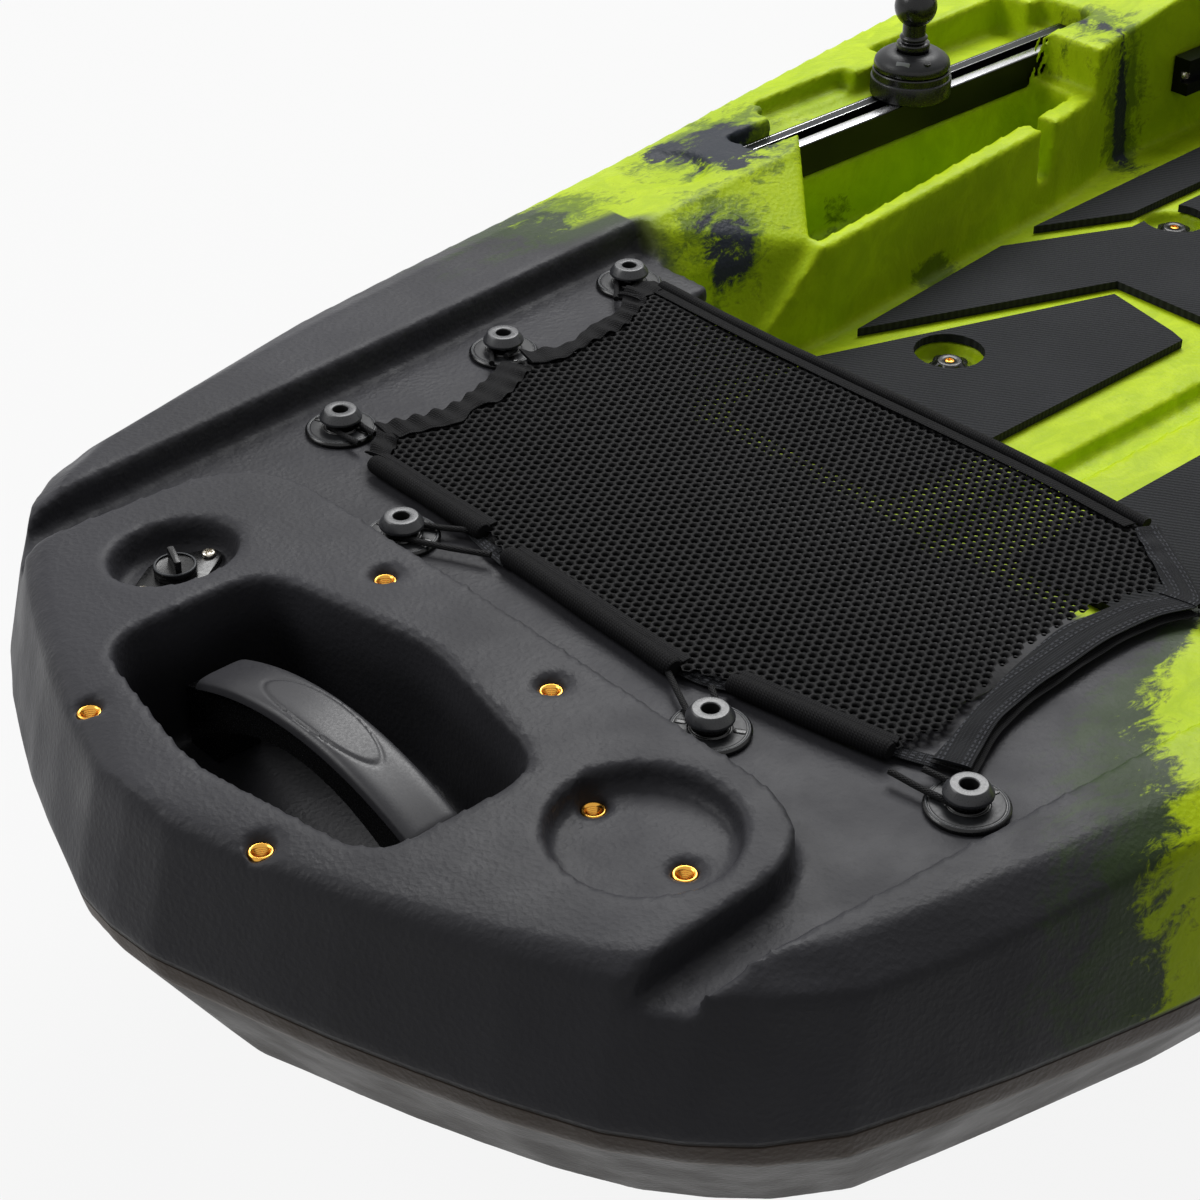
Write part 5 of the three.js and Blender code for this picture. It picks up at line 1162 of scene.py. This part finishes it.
def add_sling(name, node, cloth, twill, body):
    """Woven fabric stretched across the frame, drawn over the CAD panel with hemmed edges and a real dip."""
    low, high = (np.array(corner) - np.array(DATUM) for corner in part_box(node))
    low, high = low * 1000, high * 1000
    across, along = 49, 41
    back = node == "back_sling"

    def surface(u, v):
        dip = 1 - v * v
        ease = 0.8 + 0.2 * math.sin(math.pi * u)
        ripple = 0.5 * math.sin(26 * u) * abs(v) ** 6
        if back:
            rise = low[2] + 2 + (high[2] - low[2] - 4) * u
            place = PIVOT_X + (rise - PIVOT_Z) * math.tan(BACK_LEAN) + 4
            return (place + 21 * dip * ease + ripple, v * high[1] * 0.998, rise)
        return (low[0] + 2 + (high[0] - low[0] - 4) * u, v * high[1] * 0.998,
                high[2] - 2.5 - 21 * dip * ease + ripple)

    def sheet(u0, u1, v0, v1, lift, count_u, count_v, thick):
        rows = []
        for i in range(count_u):
            u = u0 + (u1 - u0) * i / (count_u - 1)
            top, bottom = [], []
            for k in range(count_v):
                v = v0 + (v1 - v0) * k / (count_v - 1)
                here = np.array(surface(u, v))
                du = np.array(surface(min(1, u + 0.01), v)) - np.array(surface(max(0, u - 0.01), v))
                dv = np.array(surface(u, min(1, v + 0.01))) - np.array(surface(u, max(-1, v - 0.01)))
                normal = np.cross(du, dv)
                normal /= np.linalg.norm(normal)
                top.append(here + normal * (lift + thick / 2))
                bottom.append(here + normal * (lift - thick / 2))
            rows.append(top + bottom[::-1])
        return grid(rows)
    panel = build(name, [sheet(0, 1, -1, 1, 0, along, across, 1.6)], [cloth], [node],
                  body=body)
    hems = [sheet(0.0, 0.055, -1, 1, 0, 4, across, 3.4), sheet(0.945, 1, -1, 1, 0, 4, across, 3.4),
            sheet(0, 1, -1, -0.9, 0, along, 5, 3.2), sheet(0, 1, 0.9, 1, 0, along, 5, 3.2)]
    trim = build(f"{name}_hems", hems, [twill], body=body)


def add_handles(black, grip, steel):
    places = [("carry_handle_port", 1330, 373, 0, 30), ("carry_handle_starboard", 1330, -373, 0, 30),
              ("stern_handle", 2955, 0, 90, 34)]
    for node, x, y, turn, rise in places:
        z = floor_of(node)
        line = [(-75, 0, 2.5), (-60, 0, rise * 0.55), (-33, 0, rise * 0.95), (0, 0, rise),
                (33, 0, rise * 0.95),
                (60, 0, rise * 0.55), (75, 0, 2.5)]
        strap = smooth_line(line, 2.5)

        def flat_section(i, t):
            return [(8.5 * math.cos(a), 2.6 * math.sin(a)) for a in np.linspace(0, 2 * math.pi, 20,
                                                                                endpoint=False)]

        def grip_section(i, t):
            ribs = 1 + 0.045 * math.cos(2 * math.pi * i / 3)
            return [(6.0 * ribs * math.cos(a), 6.0 * ribs * math.sin(a))
                    for a in np.linspace(0, 2 * math.pi, 24, endpoint=False)]
        middle = smooth_line(line, 0.9)
        middle = middle[len(middle) // 4: 3 * len(middle) // 4]
        shells = [sweep(strap, flat_section), banded(sweep(middle, grip_section), 1)]
        for sign in (1, -1):
            pad = rounded([(sign * 80 - 17, -12), (sign * 80 + 17, -12), (sign * 80 + 17, 12),
                           (sign * 80 - 17, 12)],
                          5, 5)
            shells.append(plate(pad, 0, 5, 1.2))
            shells.append(banded(screw(4.2, 2.4, (sign * 88, 0, 4.9), 25), 2))
        angle = math.radians(turn)

        def placed(a, b, c):
            return (a * math.cos(angle) - b * math.sin(angle) + x,
                    a * math.sin(angle) + b * math.cos(angle) + y, c + z)
        build(f"{node}_moulded", [moved(shell, placed) for shell in shells], [black, grip, steel],
              [node])


# Assembly -----------------------------------------------------------------------------------

add_camera()
add_world()
add_stage()
add_area("key", (0.5, 1.3, 2.7), (-0.9, 0.0, 0.2), (2.2, 1.8), 108)
add_area("fill", (-2.6, 1.6, 2.0), (-1.4, 0.0, 0.2), (1.4, 1.0), 26)

black = plastic("moulded_black", rgb(15, 15, 16), 0.26, 700, 0.00002, 0.15, 0.4)
dark_satin = plastic("satin_dark_grey", rgb(38, 39, 41), 0.4, 800, 0.00003)
grip_satin = plastic("satin_grip", rgb(53, 53, 56), 0.36, 900, 0.00003, 0.05, 0.3)
cap_grey = plastic("button_cap_grey", rgb(50, 51, 54), 0.3, 900, 0.00002, 0.08, 0.5)
# Painted highlight: a paler colour for thin rings on rounded edges of the buttons, the drain plug and the
# mount base.
painted_highlight_line = plastic("painted_highlight_ring", rgb(56, 58, 61), 0.4, 900, 0.00001, 0.05, 0.2)
# Painted highlight: pale grey for the patch on the mount collar's dome.
painted_highlight_patch = plastic("painted_highlight_patch", rgb(128, 130, 134), 0.4, 900, 0.00001, 0.05, 0.3)
# Painted shade: near-black matt colour for the inside of the holes in the button caps.
painted_hole_shade = plastic("painted_hole_shade", rgb(8, 8, 8), 0.6, 700, 0.00001)
matt_rubber = plastic("matt_rubber", rgb(24, 24, 25), 0.55, 500, 0.00006, 0.2)
ribbed_rubber = plastic("tread_rubber", rgb(34, 34, 36), 0.7, 420, 0.0001, 0.2)
brass = metal("turned_brass", rgb(240, 178, 78), 0.2, 500)
steel = metal("stainless_steel", rgb(196, 190, 178), 0.26, 700)
# Bright aluminium for the inboard track lips, also used for painted highlights on the outboard lips.
silver_and_highlight = metal("bright_aluminium_and_highlight", rgb(225, 226, 228), 0.22, 800, (1, 6, 6))
anodised = metal("black_anodised", rgb(40, 41, 44), 0.34, 900, (1, 8, 8))
tube_coat = plastic("powder_coat", rgb(38, 39, 42), 0.42, 1400, 0.00005, 0.15)
webbing = cloth("black_webbing", rgb(7, 7, 8), rgb(27, 27, 29), 0.0015, 0.0011)
twill = cloth("hem_twill", rgb(4, 4, 5), rgb(14, 14, 16), 0.0012, 0.0016, lean=0.8)
tape = cloth("strap_tape", rgb(18, 19, 21), rgb(42, 43, 46), 0.0013, 0.0010, stitches=(0.0019, 0.0037))
sling_cloth = cloth("sling_weave", rgb(24, 25, 27), rgb(58, 60, 64), 0.0016, 0.0016)
thread = net_thread()
braid = braided_cord()
foam = foam_pad()

add_hull(hull_material())
add_inserts(brass)
add_drain(black, steel, matt_rubber, painted_highlight_line)
add_bow_handle(black, grip_satin)
for number in range(1, 8):
    turn = {5: (121, -57), 6: (124, -12), 4: (100, -70)}.get(number, (37 * number, 37 * number + 180))
    add_button(number, [black, dark_satin, painted_highlight_line, cap_grey, painted_hole_shade], turn)
starts = {1: ((176, 196), (186, 197)), 2: ((83, 186), (93, 187)), 3: ((-14, 168), (-3, 170)),
          4: ((-24, 74), (-30, 52)), 5: ((-31, -62), (-27, -85)), 6: ((-14, -172), (-3, -180)),
          7: ((165, -186), (176, -180))}
for number, places in starts.items():
    add_loop(number, places, braid)
add_cover(webbing, twill, tape, braid, add_net(thread))
for side, _ in SIDES:
    for i in (1, 2, 3):
        keep(f"floor_pad_{side}_{i}", foam, 1.3, 3)
add_anchors(black, brass)
add_tracks(anodised, silver_and_highlight, steel, black)
add_mount(black, dark_satin, steel, painted_highlight_line, painted_highlight_patch)
add_foot_braces(black, anodised, ribbed_rubber, steel)
add_seat(tube_coat, sling_cloth, twill, steel)
add_handles(black, ribbed_rubber, steel)

scene.view_settings.view_transform = "Standard"
